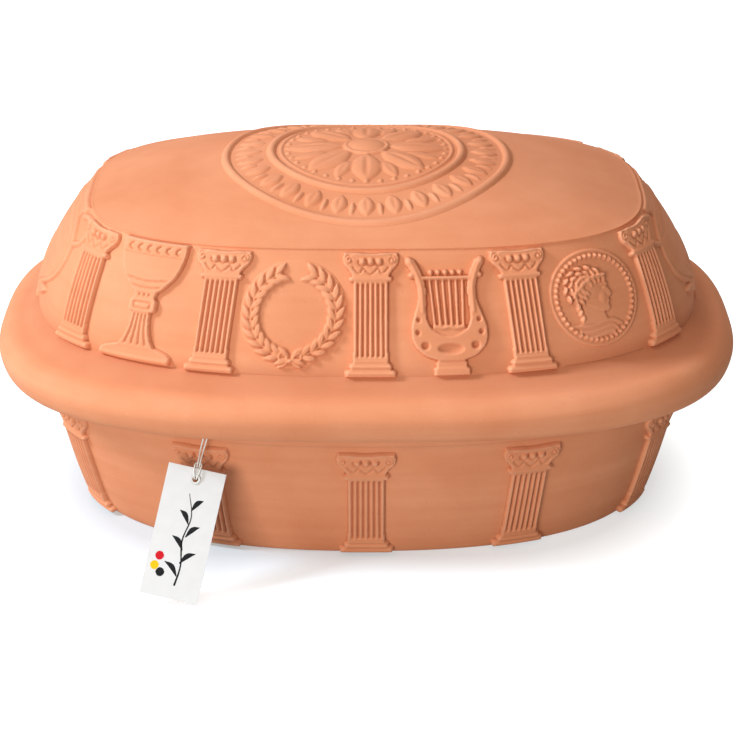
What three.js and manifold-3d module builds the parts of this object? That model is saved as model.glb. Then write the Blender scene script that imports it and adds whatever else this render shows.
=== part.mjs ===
// Oval clay roaster: a flared trough, a domed lid with a frieze in relief, and a card tag on a string.
// Millimetres, +Z up, origin in the middle of the foot, long axis along X, the tag on the -Y side.
import * as THREE from 'three';
import { mergeVertices } from 'three/addons/utils/BufferGeometryUtils.js';
import { TessellateModifier } from 'three/addons/modifiers/TessellateModifier.js';
import Module from 'manifold-3d';

const wasm = await Module();
wasm.setup();

// Trough
const RIM_LENGTH = 372;
const RIM_WIDTH = 248;
const RIM_SQUARE = 2.5; // exponent of the oval, 2 is an ellipse
const FOOT_SQUARE = 2.25;
const TROUGH_HEIGHT = 101;
const FLARE_REACH = 28.5; // how far the rim stands out past the foot
const FLARE_POWER = 0.68; // under 1 rounds the heel
const CLAY = 8; // wall thickness
const FLOOR = 9;
const INNER_HEEL = 10; // fillet between floor and wall
const FOOT_RING = 15;
const FOOT_RECESS = 2;
const RIM_BAND = 26; // height of the thicker band below the rim
const RIM_BAND_PROUD = 0.6;
const UPSTAND = 6; // width of the face that carries the lid
const LEDGE_WIDTH = 5; // outer step of the rim, below the upstand
const LEDGE_DROP = 3;
const RIB_COUNT = 7;
const RIB_PITCH = 20;
const RIB_WIDTH = 7;
const RIB_HEIGHT = 2.2;
const RIB_END_GAP = 16; // from a rib's end to the wall

// Lid
const SEAT_GAP = 0.3;
const LID_INSET = 2.6; // foot of the lid's wall, in from the rim
const LID_SQUARE = 2.45;
const LID_FOOT_RISE = 15.5; // from the seat up to the foot of the lid's wall
const LID_WALL_RISE = 61;
const ROOF_RISE = 23.4;
const ROOF_SQUARE = 3;
const ROOF_POWER = 2.05; // shape of the dome
const END_LEAN = 33; // how far the wall leans in at the ends
const SIDE_LEAN = 27.5; // and along the sides
const END_BULGE = 1.95;
const SIDE_BULGE = 1.5;
const ROOF_LIP = 0.9; // the roof's edge stands proud of the wall
const COLLAR_REACH = 19; // the collar's roll, out past the rim
const COLLAR_SQUARE = 2.79;
const COLLAR_BELOW_SEAT = 1.5; // level of the roll's widest line
const SKIRT_DROP = 14.6; // from the seat down to the collar's lowest line
const SKIRT_NOSE = 8; // lowest line, in from the widest
const SKIRT_PLAY = 2.6; // between the rim and the top of the skirt
const SKIRT_DRAFT = 3.8;

// Frieze
const FRIEZE = 64; // drawn height of the lid's ornaments, stretched to the wall
const FRIEZE_EDGE = 0.015; // clear share of the wall above and below them
const FRIEZE_SHIFT = 2.4; // the lid's ornaments sit this far round to the right
const LID_COLUMN_PITCH = 79.5;
const FRONT_COLUMNS = 5;
const TROUGH_COLUMNS = 10;
const TROUGH_COLUMN_WIDEN = 1.1; // against the lid's columns
const TROUGH_FRIEZE_TOP = 0.72; // share of the trough's wall that its columns fill
const TROUGH_FRIEZE_FOOT = 0.03;
const SINK = 2.4; // ornaments start this deep in the wall
const TILE = 21; // longest edge left on an ornament before it is bent
const COLUMN_WIDTH = 30;
const SHAFT_WIDTH = 19;
const SHAFT_TAPER = 1.6;
const PLINTH_HEIGHT = 9;
const CAPITAL_HEIGHT = 17;
const FLUTES = 3;
const FLUTE_DEPTH = 1.2;
const COLUMN_STEP = 0.5; // between the column's raised and lower parts
const COLUMN_RELIEF = 2.4;
const MOTIF_RELIEF = 2.2;
const WREATH_RADIUS = 26.5;
const WREATH_LEAVES = 12;
const COIN_RADIUS = 25.5;
const COIN_RIM = 2.2;
const GOBLET_WIDTH = 44;
const LYRE_WIDTH = 42;
const LYRE_STRINGS = 2;
const LYRE_STRING_PITCH = 6;
const VASE_WIDTH = 104;
const VASE_FOOT = 32;
const VASE_NECK = 54;
const VASE_LIP = 66;
const VASE_HANDLE = 8.5; // outer radius of a handle

// Roof rosette
const ROSETTE_RADIUS = 80;
const ROSETTE_INNER = 55;
const ROSETTE_ROLL = 5;
const ROSETTE_PETALS = 8;
const ROSETTE_BOSS = 11;
const ROSETTE_RELIEF = 1.8;

// Tag
const TAG_WIDTH = 31;
const TAG_LENGTH = 70;
const TAG_THICKNESS = 0.5;
const TAG_LEAN = THREE.MathUtils.degToRad(28);
const TAG_SLANT = THREE.MathUtils.degToRad(12.6);
const STRING_ALONG = -83; // where the string comes out from under the lid
const EYE_ALONG = -7.1; // the eyelet's middle, from there
const EYE_OUT = 8; // and out from the rim
const EYE_DROP = 41.4; // and down from it
const EYE_FROM_TOP = 5.8;
const EYELET_BORE = 1.5;
const EYELET_BARREL = 1.85;
const EYELET_FLANGE = 2.7;
const EYELET_SHEET = 0.3;
const FIT_GAP = 0.3;
const STRING_DIAMETER = 0.8;
const KNOT_WIDTH = 4.2;
const KNOT_DEPTH = 2.6;
const KNOT_HEIGHT = 1.7;
const KNOT_SAG = 0.1; // the knot's middle, below the strands

// Fineness of the facets
const RING_STEPS = 48;
const STRING_STEPS = 54;

const CLAY_FINISH = { color: 0xdd9068, roughness: 0.9, metalness: 0 };
const CARD_FINISH = { color: 0xf1f0ec, roughness: 0.75, metalness: 0 };
const EYELET_FINISH = { color: 0xb4b3ae, roughness: 0.35, metalness: 1 };
const STRING_FINISH = { color: 0xece4d2, roughness: 0.95, metalness: 0 };

const mix = THREE.MathUtils.lerp;
const rimLevel = { a: RIM_LENGTH / 2, b: RIM_WIDTH / 2, square: RIM_SQUARE, z: TROUGH_HEIGHT };
const seatZ = TROUGH_HEIGHT + SEAT_GAP;
const lidFootZ = TROUGH_HEIGHT + LID_FOOT_RISE;
const roofEdgeZ = lidFootZ + LID_WALL_RISE;
const roofTopZ = roofEdgeZ + ROOF_RISE;

/** An oval level moved outwards by a distance, or inwards by a negative one, and set at a height. */
function grown(level, distance, z = level.z) {
  return { a: level.a + distance, b: level.b + distance, square: level.square, z };
}

/** The trough's outer wall, from 0 at the foot to 1 at the rim. */
function troughLevel(share) {
  const out = FLARE_REACH * (share ** FLARE_POWER - 1);
  const level = grown(rimLevel, out, TROUGH_HEIGHT * share);
  level.square = mix(FOOT_SQUARE, RIM_SQUARE, share);
  return level;
}

/** The lid's outer wall, from 0 at its foot to 1 at the roof's edge. */
function lidLevel(share) {
  return {
    a: rimLevel.a - LID_INSET - END_LEAN * share ** END_BULGE,
    b: rimLevel.b - LID_INSET - SIDE_LEAN * share ** SIDE_BULGE,
    square: mix(LID_SQUARE, ROOF_SQUARE, share),
    z: mix(lidFootZ, roofEdgeZ, share),
  };
}

/** A level of the collar, in from its widest line. */
function collarLevel(inset, z) {
  const level = grown(rimLevel, COLLAR_REACH - inset, z);
  level.square = COLLAR_SQUARE;
  return level;
}

/** A ring of the dome over an edge level, scaled about the middle. */
function domeLevel(edge, share, topZ) {
  const z = edge.z + (topZ - edge.z) * (1 - share ** ROOF_POWER);
  return { a: edge.a * share, b: edge.b * share, square: edge.square, z };
}

/** A point of an oval level; a bearing of 0 is +X. */
function ovalPoint(level, bearing) {
  const power = 2 / level.square;
  const c = Math.cos(bearing);
  const s = Math.sin(bearing);
  const x = level.a * Math.sign(c) * Math.abs(c) ** power;
  const y = level.b * Math.sign(s) * Math.abs(s) ** power;
  return new THREE.Vector3(x, y, level.z);
}

/** A closed body through oval levels, with a point on the axis at each end. */
function loft(levels, startZ, endZ) {
  const points = [0, 0, startZ];
  const faces = [];
  for (const level of levels) {
    for (let i = 0; i < RING_STEPS; i += 1) {
      points.push(...ovalPoint(level, ((i + 0.5) / RING_STEPS) * 2 * Math.PI).toArray());
    }
  }
  points.push(0, 0, endZ);
  const last = points.length / 3 - 1;
  const vertex = (ring, i) => 1 + ring * RING_STEPS + (i % RING_STEPS);
  for (let i = 0; i < RING_STEPS; i += 1) {
    faces.push(0, vertex(0, i), vertex(0, i + 1));
    for (let ring = 1; ring < levels.length; ring += 1) {
      faces.push(vertex(ring - 1, i), vertex(ring, i), vertex(ring, i + 1));
      faces.push(vertex(ring - 1, i), vertex(ring, i + 1), vertex(ring - 1, i + 1));
    }
    faces.push(last, vertex(levels.length - 1, i + 1), vertex(levels.length - 1, i));
  }
  const geometry = new THREE.BufferGeometry();
  geometry.setAttribute('position', new THREE.Float32BufferAttribute(points, 3));
  geometry.setIndex(faces);
  return geometry;
}

/** A closed geometry as a solid that can be joined and cut. */
function solid(geometry) {
  geometry.deleteAttribute('normal');
  geometry.deleteAttribute('uv');
  const merged = mergeVertices(geometry, 1e-4);
  const vertProperties = new Float32Array(merged.attributes.position.array);
  const triVerts = new Uint32Array(merged.index.array);
  return new wasm.Manifold(new wasm.Mesh({ numProp: 3, vertProperties, triVerts }));
}

/** A named mesh of a solid. */
function piece(name, body, finish) {
  const { vertProperties, triVerts } = body.getMesh();
  const geometry = new THREE.BufferGeometry();
  geometry.setAttribute('position', new THREE.BufferAttribute(vertProperties, 3));
  geometry.setIndex(new THREE.BufferAttribute(triVerts, 1));
  geometry.computeVertexNormals();
  const mesh = new THREE.Mesh(geometry, new THREE.MeshStandardMaterial(finish));
  mesh.name = name;
  return mesh;
}

/** A curved wall that carries ornaments, drawn flat with x to the right, y up and z outwards. */
class Wall {
  constructor(levelAt, from, to) {
    this.levelAt = levelAt;
    this.from = from;
    this.to = to;
  }

  point(bearing, share) {
    return ovalPoint(this.levelAt(share), bearing);
  }

  normal(bearing, share) {
    const step = 1e-3;
    const along = this.point(bearing + step, share).sub(this.point(bearing - step, share));
    const up = this.point(bearing, share + step).sub(this.point(bearing, share - step));
    return along.cross(up).normalize();
  }

  /** The bearing that lies a distance to the right of another, measured along the wall. */
  walk(bearing, share, distance) {
    const steps = 12;
    const step = 1e-3;
    let at = bearing;
    for (let i = 0; i < steps; i += 1) {
      const speed = this.point(at + step, share).distanceTo(this.point(at - step, share)) / (2 * step);
      at += distance / steps / speed;
    }
    return at;
  }

  /** Length of the wall once round at a share of its height. */
  girth(share) {
    const steps = 720;
    let length = 0;
    for (let i = 0; i < steps; i += 1) {
      const next = this.point(((i + 1) / steps) * 2 * Math.PI, share);
      length += next.distanceTo(this.point((i / steps) * 2 * Math.PI, share));
    }
    return length;
  }

  /** The share of the wall's height at a drawn height, by length along the slope. */
  climb(bearing, drawn) {
    const steps = 40;
    const reach = [0];
    const shareAt = (i) => mix(this.from, this.to, i / steps);
    for (let i = 1; i <= steps; i += 1) {
      const rise = this.point(bearing, shareAt(i)).distanceTo(this.point(bearing, shareAt(i - 1)));
      reach.push(reach[i - 1] + rise);
    }
    const wanted = (drawn / FRIEZE) * reach[steps];
    const upper = reach.findIndex((length, i) => i > 0 && (length >= wanted || i === steps));
    const part = (wanted - reach[upper - 1]) / (reach[upper] - reach[upper - 1]);
    return mix(shareAt(upper - 1), shareAt(upper), part);
  }

  /** Bends a flat ornament on to the wall about a bearing. */
  bend(geometry, bearing) {
    const flat = geometry.attributes.position;
    for (let i = 0; i < flat.count; i += 1) {
      const share = this.climb(bearing, flat.getY(i));
      const at = this.walk(bearing, share, flat.getX(i));
      const height = this.normal(at, share).multiplyScalar(flat.getZ(i));
      const place = this.point(at, share).add(height);
      flat.setXYZ(i, place.x, place.y, place.z);
    }
    return geometry;
  }
}

const lidWall = new Wall(lidLevel, FRIEZE_EDGE, 1 - FRIEZE_EDGE);
const troughWall = new Wall(troughLevel, TROUGH_FRIEZE_FOOT, TROUGH_FRIEZE_TOP);
const FRONT = -Math.PI / 2;

/** A flat ornament of even height, ready to bend. */
function slab(shape, relief, curveSteps = 4) {
  const options = { depth: relief + SINK, bevelEnabled: false, curveSegments: curveSteps };
  const block = new THREE.ExtrudeGeometry(shape, options).translate(0, 0, -SINK);
  return new TessellateModifier(TILE, 6).modify(block);
}

/** An outline that is the same on both sides, from the right-hand points, low to high. */
function evenOutline(points) {
  const left = points.filter(([x]) => x > 0).map(([x, y]) => [-x, y]).reverse();
  return new THREE.Shape([...points, ...left].map(([x, y]) => new THREE.Vector2(x, y)));
}

/** Points of a smooth right-hand edge through a few places. */
function smoothEdge(places, steps) {
  const curve = new THREE.SplineCurve(places.map(([x, y]) => new THREE.Vector2(x, y)));
  return curve.getPoints(steps).map((point) => [point.x, point.y]);
}

/** A ring outline about a centre. */
function ringShape(outer, inner, x, y) {
  const shape = new THREE.Shape().absarc(x, y, outer, 0, 2 * Math.PI);
  shape.holes.push(new THREE.Path().absarc(x, y, inner, 0, 2 * Math.PI, true));
  return shape;
}

/** Heights of a column, each with its half width, relief and flute depth. */
function columnLevels() {
  const half = COLUMN_WIDTH / 2;
  const foot = SHAFT_WIDTH / 2;
  const neck = foot - SHAFT_TAPER / 2;
  const head = FRIEZE - CAPITAL_HEIGHT;
  const low = COLUMN_RELIEF - COLUMN_STEP;
  return [
    [0, half, COLUMN_RELIEF, 0],
    [PLINTH_HEIGHT * 0.5, half - 0.6, COLUMN_RELIEF, 0],
    [PLINTH_HEIGHT * 0.5 + 0.4, half - 3, low, 0],
    [PLINTH_HEIGHT, half - 3.4, low, 0],
    [PLINTH_HEIGHT + 0.8, foot, low, FLUTE_DEPTH],
    [(PLINTH_HEIGHT + head) / 2, (foot + neck) / 2, low, FLUTE_DEPTH],
    [head, neck, low, FLUTE_DEPTH],
    [head + 3.5, neck + 3, COLUMN_RELIEF, 0],
    [head + 5, neck + 1.2, low, 0],
    [head + 9.5, half - 1, COLUMN_RELIEF, 0],
    [head + CAPITAL_HEIGHT, half - 1, COLUMN_RELIEF, 0],
  ];
}

/** A column: stepped plinth, tapered shaft with flutes and flared capital, drawn along its height. */
function column(widen = 1) {
  const levels = columnLevels();
  const strips = 2 * FLUTES;
  const section = new THREE.Shape();
  section.moveTo(-1, -SINK);
  section.lineTo(1, -SINK);
  for (let i = 0; i <= strips; i += 1) {
    section.lineTo(1 - i / FLUTES, 1 + (i % 2));
  }
  const steps = levels.length - 1;
  const block = new THREE.ExtrudeGeometry(section, { depth: steps, steps, bevelEnabled: false });
  const place = block.attributes.position;
  for (let i = 0; i < place.count; i += 1) {
    const [height, half, relief, flute] = levels[Math.round(place.getZ(i))];
    const kind = place.getY(i);
    const out = kind < 0 ? kind : relief - flute * (kind - 1);
    place.setXYZ(i, -half * widen * place.getX(i), height, out);
  }
  return [block];
}

/** A goblet: banded bowl, knop and flared foot. */
function goblet() {
  const half = GOBLET_WIDTH / 2;
  const cup = evenOutline([
    [half, 0],
    [half, 5],
    ...smoothEdge([[half - 3, 5.2], [7.5, 12], [6, 20]], 3),
    [9, 20.5],
    [9, 26],
    [7, 27],
    ...smoothEdge([[7, 31], [15, 40], [18, 54]], 3),
    [19.5, 55],
    [19.5, FRIEZE - 1],
  ]);
  return [slab(cup, MOTIF_RELIEF)];
}

/** A laurel wreath: two scalloped edges of leaf tips round a ring. */
function wreath() {
  const middle = FRIEZE / 2 - 1;
  const tips = (tip, hollow, lag) => {
    const points = [];
    for (let i = 0; i < WREATH_LEAVES; i += 1) {
      for (const [part, radius] of [[0, hollow], [0.8 + lag, tip]]) {
        const angle = ((i + part) / WREATH_LEAVES) * 2 * Math.PI + Math.PI / 2;
        points.push(new THREE.Vector2(radius * Math.cos(angle), middle + radius * Math.sin(angle)));
      }
    }
    return points;
  };
  const shape = new THREE.Shape(tips(WREATH_RADIUS, WREATH_RADIUS - 4, 0));
  shape.holes.push(new THREE.Path(tips(WREATH_RADIUS - 11, WREATH_RADIUS - 8, 0.05).reverse()));
  return [slab(shape, MOTIF_RELIEF)];
}

/** A lyre: sound box on a stepped foot, two curved arms, crossbar and strings. */
function lyre() {
  const half = LYRE_WIDTH / 2;
  const frame = evenOutline([
    [half - 3, 0],
    [half - 3, 4],
    [8, 5],
    [8, 9],
    ...smoothEdge([[9, 10], [16.5, 16], [15.5, 27], [12.5, 38], [half - 1, 52], [half - 2, 61]], 9),
    [14, 61],
    [13.5, 55],
  ]);
  frame.holes.push(new THREE.Path(evenOutline([[10.5, 28], [9, 38], [14, 51]]).getPoints().reverse()));
  const strings = [];
  for (let i = 0; i < LYRE_STRINGS; i += 1) {
    const x = (i - (LYRE_STRINGS - 1) / 2) * LYRE_STRING_PITCH;
    strings.push(slab(new THREE.Shape([
      new THREE.Vector2(x - 0.7, 25),
      new THREE.Vector2(x + 0.7, 25),
      new THREE.Vector2(x + 0.7, 53),
      new THREE.Vector2(x - 0.7, 53),
    ]), MOTIF_RELIEF - 0.7));
  }
  return [slab(frame, MOTIF_RELIEF), ...strings];
}

/** A coin: raised rim and a plain head in profile. */
function coin() {
  const middle = FRIEZE / 2 + 1;
  const head = new THREE.Shape();
  head.moveTo(-9, middle - 14);
  head.quadraticCurveTo(-5, middle - 9, -6, middle - 4);
  head.bezierCurveTo(-14, middle, -12, middle + 14, -1, middle + 14);
  head.quadraticCurveTo(7, middle + 14, 8, middle + 6);
  head.lineTo(10.5, middle + 0.5);
  head.lineTo(8, middle - 0.5);
  head.lineTo(7.5, middle - 6);
  head.lineTo(3, middle - 8);
  head.quadraticCurveTo(4, middle - 12, 8, middle - 14);
  const rim = ringShape(COIN_RADIUS, COIN_RADIUS - COIN_RIM, 0, middle);
  return [slab(rim, MOTIF_RELIEF, 10), slab(head, MOTIF_RELIEF, 2)];
}

/** A broad two-handled vase that fills the end of the lid. */
function vase() {
  const half = VASE_WIDTH / 2;
  const body = evenOutline([
    [VASE_FOOT / 2, 0],
    [VASE_FOOT / 2 - 1, 4],
    ...smoothEdge([[9, 7], [26, 12.5], [half - 5, 23], [half, 34], [half - 5, 46], [half - 16, 53]], 8),
    [VASE_NECK / 2, 56],
    [VASE_LIP / 2, 60],
    [VASE_LIP / 2, FRIEZE],
  ]);
  const handles = [-1, 1].map((side) => ringShape(VASE_HANDLE, VASE_HANDLE - 3.5, side * (half - 9), 53));
  return [slab(body, MOTIF_RELIEF), ...handles.map((ring) => slab(ring, MOTIF_RELIEF - 0.4))];
}

/** The roof's height over a place in plan. */
function roofHeight(x, y) {
  const edge = lidLevel(1);
  const along = (Math.abs(x) / edge.a) ** edge.square;
  const across = (Math.abs(y) / edge.b) ** edge.square;
  return domeLevel(edge, (along + across) ** (1 / edge.square), roofTopZ).z;
}

/** A rosette in two moulded rings, laid on the roof. */
function rosette() {
  const pieces = [
    slab(ringShape(ROSETTE_RADIUS, ROSETTE_RADIUS - ROSETTE_ROLL, 0, 0), ROSETTE_RELIEF, 12),
    slab(ringShape(ROSETTE_INNER, ROSETTE_INNER - ROSETTE_ROLL, 0, 0), ROSETTE_RELIEF, 9),
    slab(new THREE.Shape().absarc(0, 0, ROSETTE_BOSS, 0, 2 * Math.PI), ROSETTE_RELIEF * 1.6, 6),
  ];
  const petalEnd = ROSETTE_INNER - ROSETTE_ROLL - 4;
  const petalStart = ROSETTE_BOSS + 3;
  for (let i = 0; i < ROSETTE_PETALS; i += 1) {
    const petal = new THREE.Shape();
    petal.moveTo(petalStart, 0);
    petal.quadraticCurveTo(mix(petalStart, petalEnd, 0.75), -13, petalEnd, 0);
    petal.quadraticCurveTo(mix(petalStart, petalEnd, 0.75), 13, petalStart, 0);
    pieces.push(slab(petal, ROSETTE_RELIEF, 2).rotateZ((i / ROSETTE_PETALS) * 2 * Math.PI));
  }
  for (const block of pieces) {
    const place = block.attributes.position;
    for (let i = 0; i < place.count; i += 1) {
      place.setZ(i, place.getZ(i) + roofHeight(place.getX(i), place.getY(i)));
    }
  }
  return pieces;
}

/** A body with the flat pieces of an ornament bent on to its wall and joined to it. */
function withOrnament(body, wall, flatPieces, bearing) {
  let carved = body;
  for (const flat of flatPieces) {
    carved = carved.add(solid(wall.bend(flat, bearing)));
  }
  return carved;
}

/** The trough: foot ring, flared wall, stepped rim and ribbed floor. */
function trough() {
  const foot = troughLevel(0);
  const bandShare = 1 - RIM_BAND / TROUGH_HEIGHT;
  const bandFoot = troughLevel(bandShare);
  const ledgeZ = TROUGH_HEIGHT - LEDGE_DROP;
  const rimOut = grown(rimLevel, RIM_BAND_PROUD);
  const inner = (z, extra = 0) => grown(troughLevel(z / TROUGH_HEIGHT), -CLAY - extra, z);
  const floorEdge = inner(FLOOR, INNER_HEEL);
  const levels = [
    floorEdge,
    inner(FLOOR + INNER_HEEL * 0.3, INNER_HEEL * 0.3),
    inner(FLOOR + INNER_HEEL),
    inner(TROUGH_HEIGHT * 0.55),
    grown(rimOut, -LEDGE_WIDTH - UPSTAND, TROUGH_HEIGHT),
    grown(rimOut, -LEDGE_WIDTH, TROUGH_HEIGHT),
    grown(rimOut, -LEDGE_WIDTH, ledgeZ),
    grown(rimOut, 0, ledgeZ),
    grown(troughLevel(0.88), RIM_BAND_PROUD),
    grown(bandFoot, RIM_BAND_PROUD, bandFoot.z + RIM_BAND_PROUD),
    bandFoot,
    ...[0.5, 0.22, 0.05].map(troughLevel),
    foot,
    grown(foot, -FOOT_RING, 0),
    grown(foot, -FOOT_RING - FOOT_RECESS, FOOT_RECESS),
  ];
  let body = solid(loft(levels, FLOOR, FOOT_RECESS));
  for (let i = 0; i < RIB_COUNT; i += 1) {
    const y = (i - (RIB_COUNT - 1) / 2) * RIB_PITCH;
    const share = Math.max(0, 1 - (Math.abs(y) / floorEdge.b) ** floorEdge.square);
    const length = 2 * (floorEdge.a * share ** (1 / floorEdge.square) - RIB_END_GAP);
    const half = RIB_WIDTH / 2;
    const section = new THREE.Shape();
    section.moveTo(-half, -1);
    section.lineTo(half, -1);
    section.lineTo(half, 0);
    section.quadraticCurveTo(half * 0.6, RIB_HEIGHT, 0, RIB_HEIGHT);
    section.quadraticCurveTo(-half * 0.6, RIB_HEIGHT, -half, 0);
    const bar = new THREE.ExtrudeGeometry(section, { depth: length, bevelEnabled: false, curveSegments: 2 });
    bar.rotateX(Math.PI / 2).rotateZ(Math.PI / 2).translate(-length / 2, y, FLOOR);
    body = body.add(solid(bar));
  }
  const pitch = troughWall.girth(TROUGH_FRIEZE_TOP / 2) / TROUGH_COLUMNS;
  for (let i = 0; i < TROUGH_COLUMNS; i += 1) {
    const bearing = troughWall.walk(FRONT, TROUGH_FRIEZE_TOP / 2, i * pitch);
    body = withOrnament(body, troughWall, column(TROUGH_COLUMN_WIDEN), bearing);
  }
  return body;
}

/** The lid: collar with skirt, leaning wall, lipped roof, hollow inside. */
function lid() {
  const edge = lidLevel(1);
  const roofEdge = grown(edge, ROOF_LIP, edge.z + ROOF_LIP);
  const dome = (share) => domeLevel(roofEdge, share, roofTopZ);
  const rollZ = TROUGH_HEIGHT - COLLAR_BELOW_SEAT;
  const noseZ = TROUGH_HEIGHT - SKIRT_DROP;
  const rollTop = lidFootZ - rollZ;
  const skirtTop = COLLAR_REACH - RIM_BAND_PROUD - SKIRT_PLAY;
  const skirtFoot = skirtTop - SKIRT_DRAFT;
  const innerEdge = grown(edge, -CLAY, edge.z - CLAY * 0.4);
  const levels = [
    ...[0.35, 0.65, 0.88].map(dome),
    roofEdge,
    ...[1, 0.7, 0.38, 0].map(lidLevel),
    collarLevel(COLLAR_REACH * 0.78, rollZ + rollTop * 0.72),
    collarLevel(COLLAR_REACH * 0.34, rollZ + rollTop * 0.56),
    collarLevel(COLLAR_REACH * 0.09, rollZ + rollTop * 0.3),
    collarLevel(0, rollZ),
    collarLevel(SKIRT_NOSE * 0.2, mix(rollZ, noseZ, 0.55)),
    collarLevel(SKIRT_NOSE * 0.55, mix(rollZ, noseZ, 0.87)),
    collarLevel(SKIRT_NOSE, noseZ),
    collarLevel(skirtFoot, mix(noseZ, rollZ, 0.14)),
    collarLevel(skirtTop, seatZ),
    grown(lidLevel(0), -CLAY, seatZ),
    ...[0, 0.55].map((share) => grown(lidLevel(share), -CLAY)),
    innerEdge,
    ...[0.6].map((share) => domeLevel(innerEdge, share, roofTopZ - CLAY)),
  ];
  let body = solid(loft(levels, roofTopZ, roofTopZ - CLAY));
  for (const side of [0, Math.PI]) {
    const place = (steps) => lidWall.walk(FRONT, 0.5, FRIEZE_SHIFT + steps * LID_COLUMN_PITCH) + side;
    for (let i = 0; i < FRONT_COLUMNS; i += 1) {
      body = withOrnament(body, lidWall, column(), place(i - (FRONT_COLUMNS - 1) / 2));
    }
    [goblet, wreath, lyre, coin].forEach((motif, i) => {
      body = withOrnament(body, lidWall, motif(), place(i - 1.5));
    });
    body = withOrnament(body, lidWall, vase(), side);
  }
  for (const block of rosette()) {
    body = body.add(solid(block));
  }
  return body;
}

/** The rim's front edge beside a place along the roaster. */
function rimFront(x) {
  const across = (1 - (Math.abs(x) / rimLevel.a) ** rimLevel.square) ** (1 / rimLevel.square);
  return new THREE.Vector3(x, -rimLevel.b * across, TROUGH_HEIGHT);
}

const stringStart = rimFront(STRING_ALONG);
const tagEye = stringStart.clone().add(new THREE.Vector3(EYE_ALONG, -EYE_OUT, -EYE_DROP));

/** Turns a piece drawn flat about the eye, x right, y up and z towards the viewer, to the tag's place. */
function atTag(geometry) {
  return geometry.rotateZ(-TAG_SLANT).rotateX(Math.PI / 2 - TAG_LEAN).translate(...tagEye.toArray());
}

/** The card, with the hole for its eyelet. */
function card() {
  const half = TAG_WIDTH / 2;
  const outline = evenOutline([[half, EYE_FROM_TOP - TAG_LENGTH], [half, EYE_FROM_TOP]]);
  outline.holes.push(new THREE.Path().absarc(0, 0, EYELET_BARREL + FIT_GAP, 0, 2 * Math.PI, true));
  const block = new THREE.ExtrudeGeometry(outline, {
    depth: TAG_THICKNESS,
    bevelEnabled: false,
    curveSegments: 10,
  });
  return solid(atTag(block.translate(0, 0, -TAG_THICKNESS / 2)));
}

/** The eyelet: a barrel through the card with a flange on each face. */
function eyelet() {
  const inside = TAG_THICKNESS / 2 + FIT_GAP;
  const outside = inside + EYELET_SHEET;
  const profile = [
    [EYELET_BORE, -outside],
    [EYELET_FLANGE, -outside],
    [EYELET_FLANGE, -inside],
    [EYELET_BARREL, -inside],
    [EYELET_BARREL, inside],
    [EYELET_FLANGE, inside],
    [EYELET_FLANGE, outside],
    [EYELET_BORE, outside],
    [EYELET_BORE, -outside],
  ].map(([radius, height]) => new THREE.Vector2(radius, height));
  return solid(atTag(new THREE.LatheGeometry(profile, 14).rotateX(Math.PI / 2)));
}

// The string's route for one half, mirrored for the other: on the rim's ledge and down the gap behind
// the skirt, as x, out from the rim and up from it, then, in the tag's own drawing plane, behind the
// card, through the eye and up the front to a loop round both strands.
const LEDGE_ROUTE = [
  [-0.9, -1.5, -1.9],
  [-0.95, 0.1, -1.9],
  [-1, 1.6, -2.6],
  [-1.05, 2.3, -4.2],
  [-1.05, 2.6, -7],
  [-1, 3.2, -13],
];
const HANG_ROUTE = [
  [-0.85, 16.5, -0.35],
  [-0.65, 11.5, 0.35],
  [-0.6, 9, 0.45],
  [-0.6, 7.4, -0.1],
  [-0.6, 5.9, -1.05],
  [-0.6, 4.2, -1.5],
  [-0.6, 2.4, -1.65],
  [-0.58, 0.9, -1.35],
  [-0.56, 0.05, 0],
  [-0.62, 0.75, 1.3],
  [-1, 2.2, 1.7],
  [-1.5, 4.2, 1.55],
  [-1.72, 6, 1.35],
  [-1.72, 7.5, 0.9],
  [-1.4, 8.5, -0.1],
  [-0.7, 8.85, -0.85],
];
const LOOP_MIDDLE = [0, 8.95, -1.05];

/** A place given about the eye in the tag's drawing plane. */
function tagPoint(x, y, z) {
  const point = new THREE.Vector3(x, y, z);
  point.applyAxisAngle(new THREE.Vector3(0, 0, 1), -TAG_SLANT);
  point.applyAxisAngle(new THREE.Vector3(1, 0, 0), Math.PI / 2 - TAG_LEAN);
  return point.add(tagEye);
}

/** The string's points in order, from the knot down, round the eye and back up to the knot. */
function stringRoute() {
  const half = (side) => [
    ...LEDGE_ROUTE.map(([x, out, up]) => new THREE.Vector3(-side * x, -out, up).add(stringStart)),
    ...HANG_ROUTE.map(([x, y, z]) => tagPoint(-side * x, y, z)),
  ];
  return [...half(-1), tagPoint(...LOOP_MIDDLE), ...half(1).reverse()];
}

/** The doubled string and the knot that holds its two ends on the ledge. */
function string() {
  const route = new THREE.CatmullRomCurve3(stringRoute(), false, 'centripetal');
  const section = new THREE.Shape().absarc(0, 0, STRING_DIAMETER / 2, 0, 2 * Math.PI);
  const tube = new THREE.ExtrudeGeometry(section, {
    extrudePath: route,
    steps: STRING_STEPS,
    curveSegments: 4,
    bevelEnabled: false,
  });
  const [, out, up] = LEDGE_ROUTE[0];
  const place = new THREE.Vector3(0, KNOT_WIDTH * 0.2 - out, up - KNOT_SAG).add(stringStart);
  const knot = new THREE.SphereGeometry(0.5, 10, 6).scale(KNOT_WIDTH, KNOT_DEPTH, KNOT_HEIGHT);
  knot.translate(...place.toArray());
  return solid(tube).add(solid(knot));
}

const roaster = new THREE.Group();
roaster.add(piece('roaster_base', trough(), CLAY_FINISH));
roaster.add(piece('roaster_lid', lid(), CLAY_FINISH));
roaster.add(piece('hang_tag', card(), CARD_FINISH));
roaster.add(piece('tag_eyelet', eyelet(), EYELET_FINISH));
roaster.add(piece('tag_string', string(), STRING_FINISH));
export default roaster;
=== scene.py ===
"""Oval clay roaster: fired trough and lid with moulded reliefs, and a card tag on a string."""

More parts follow.
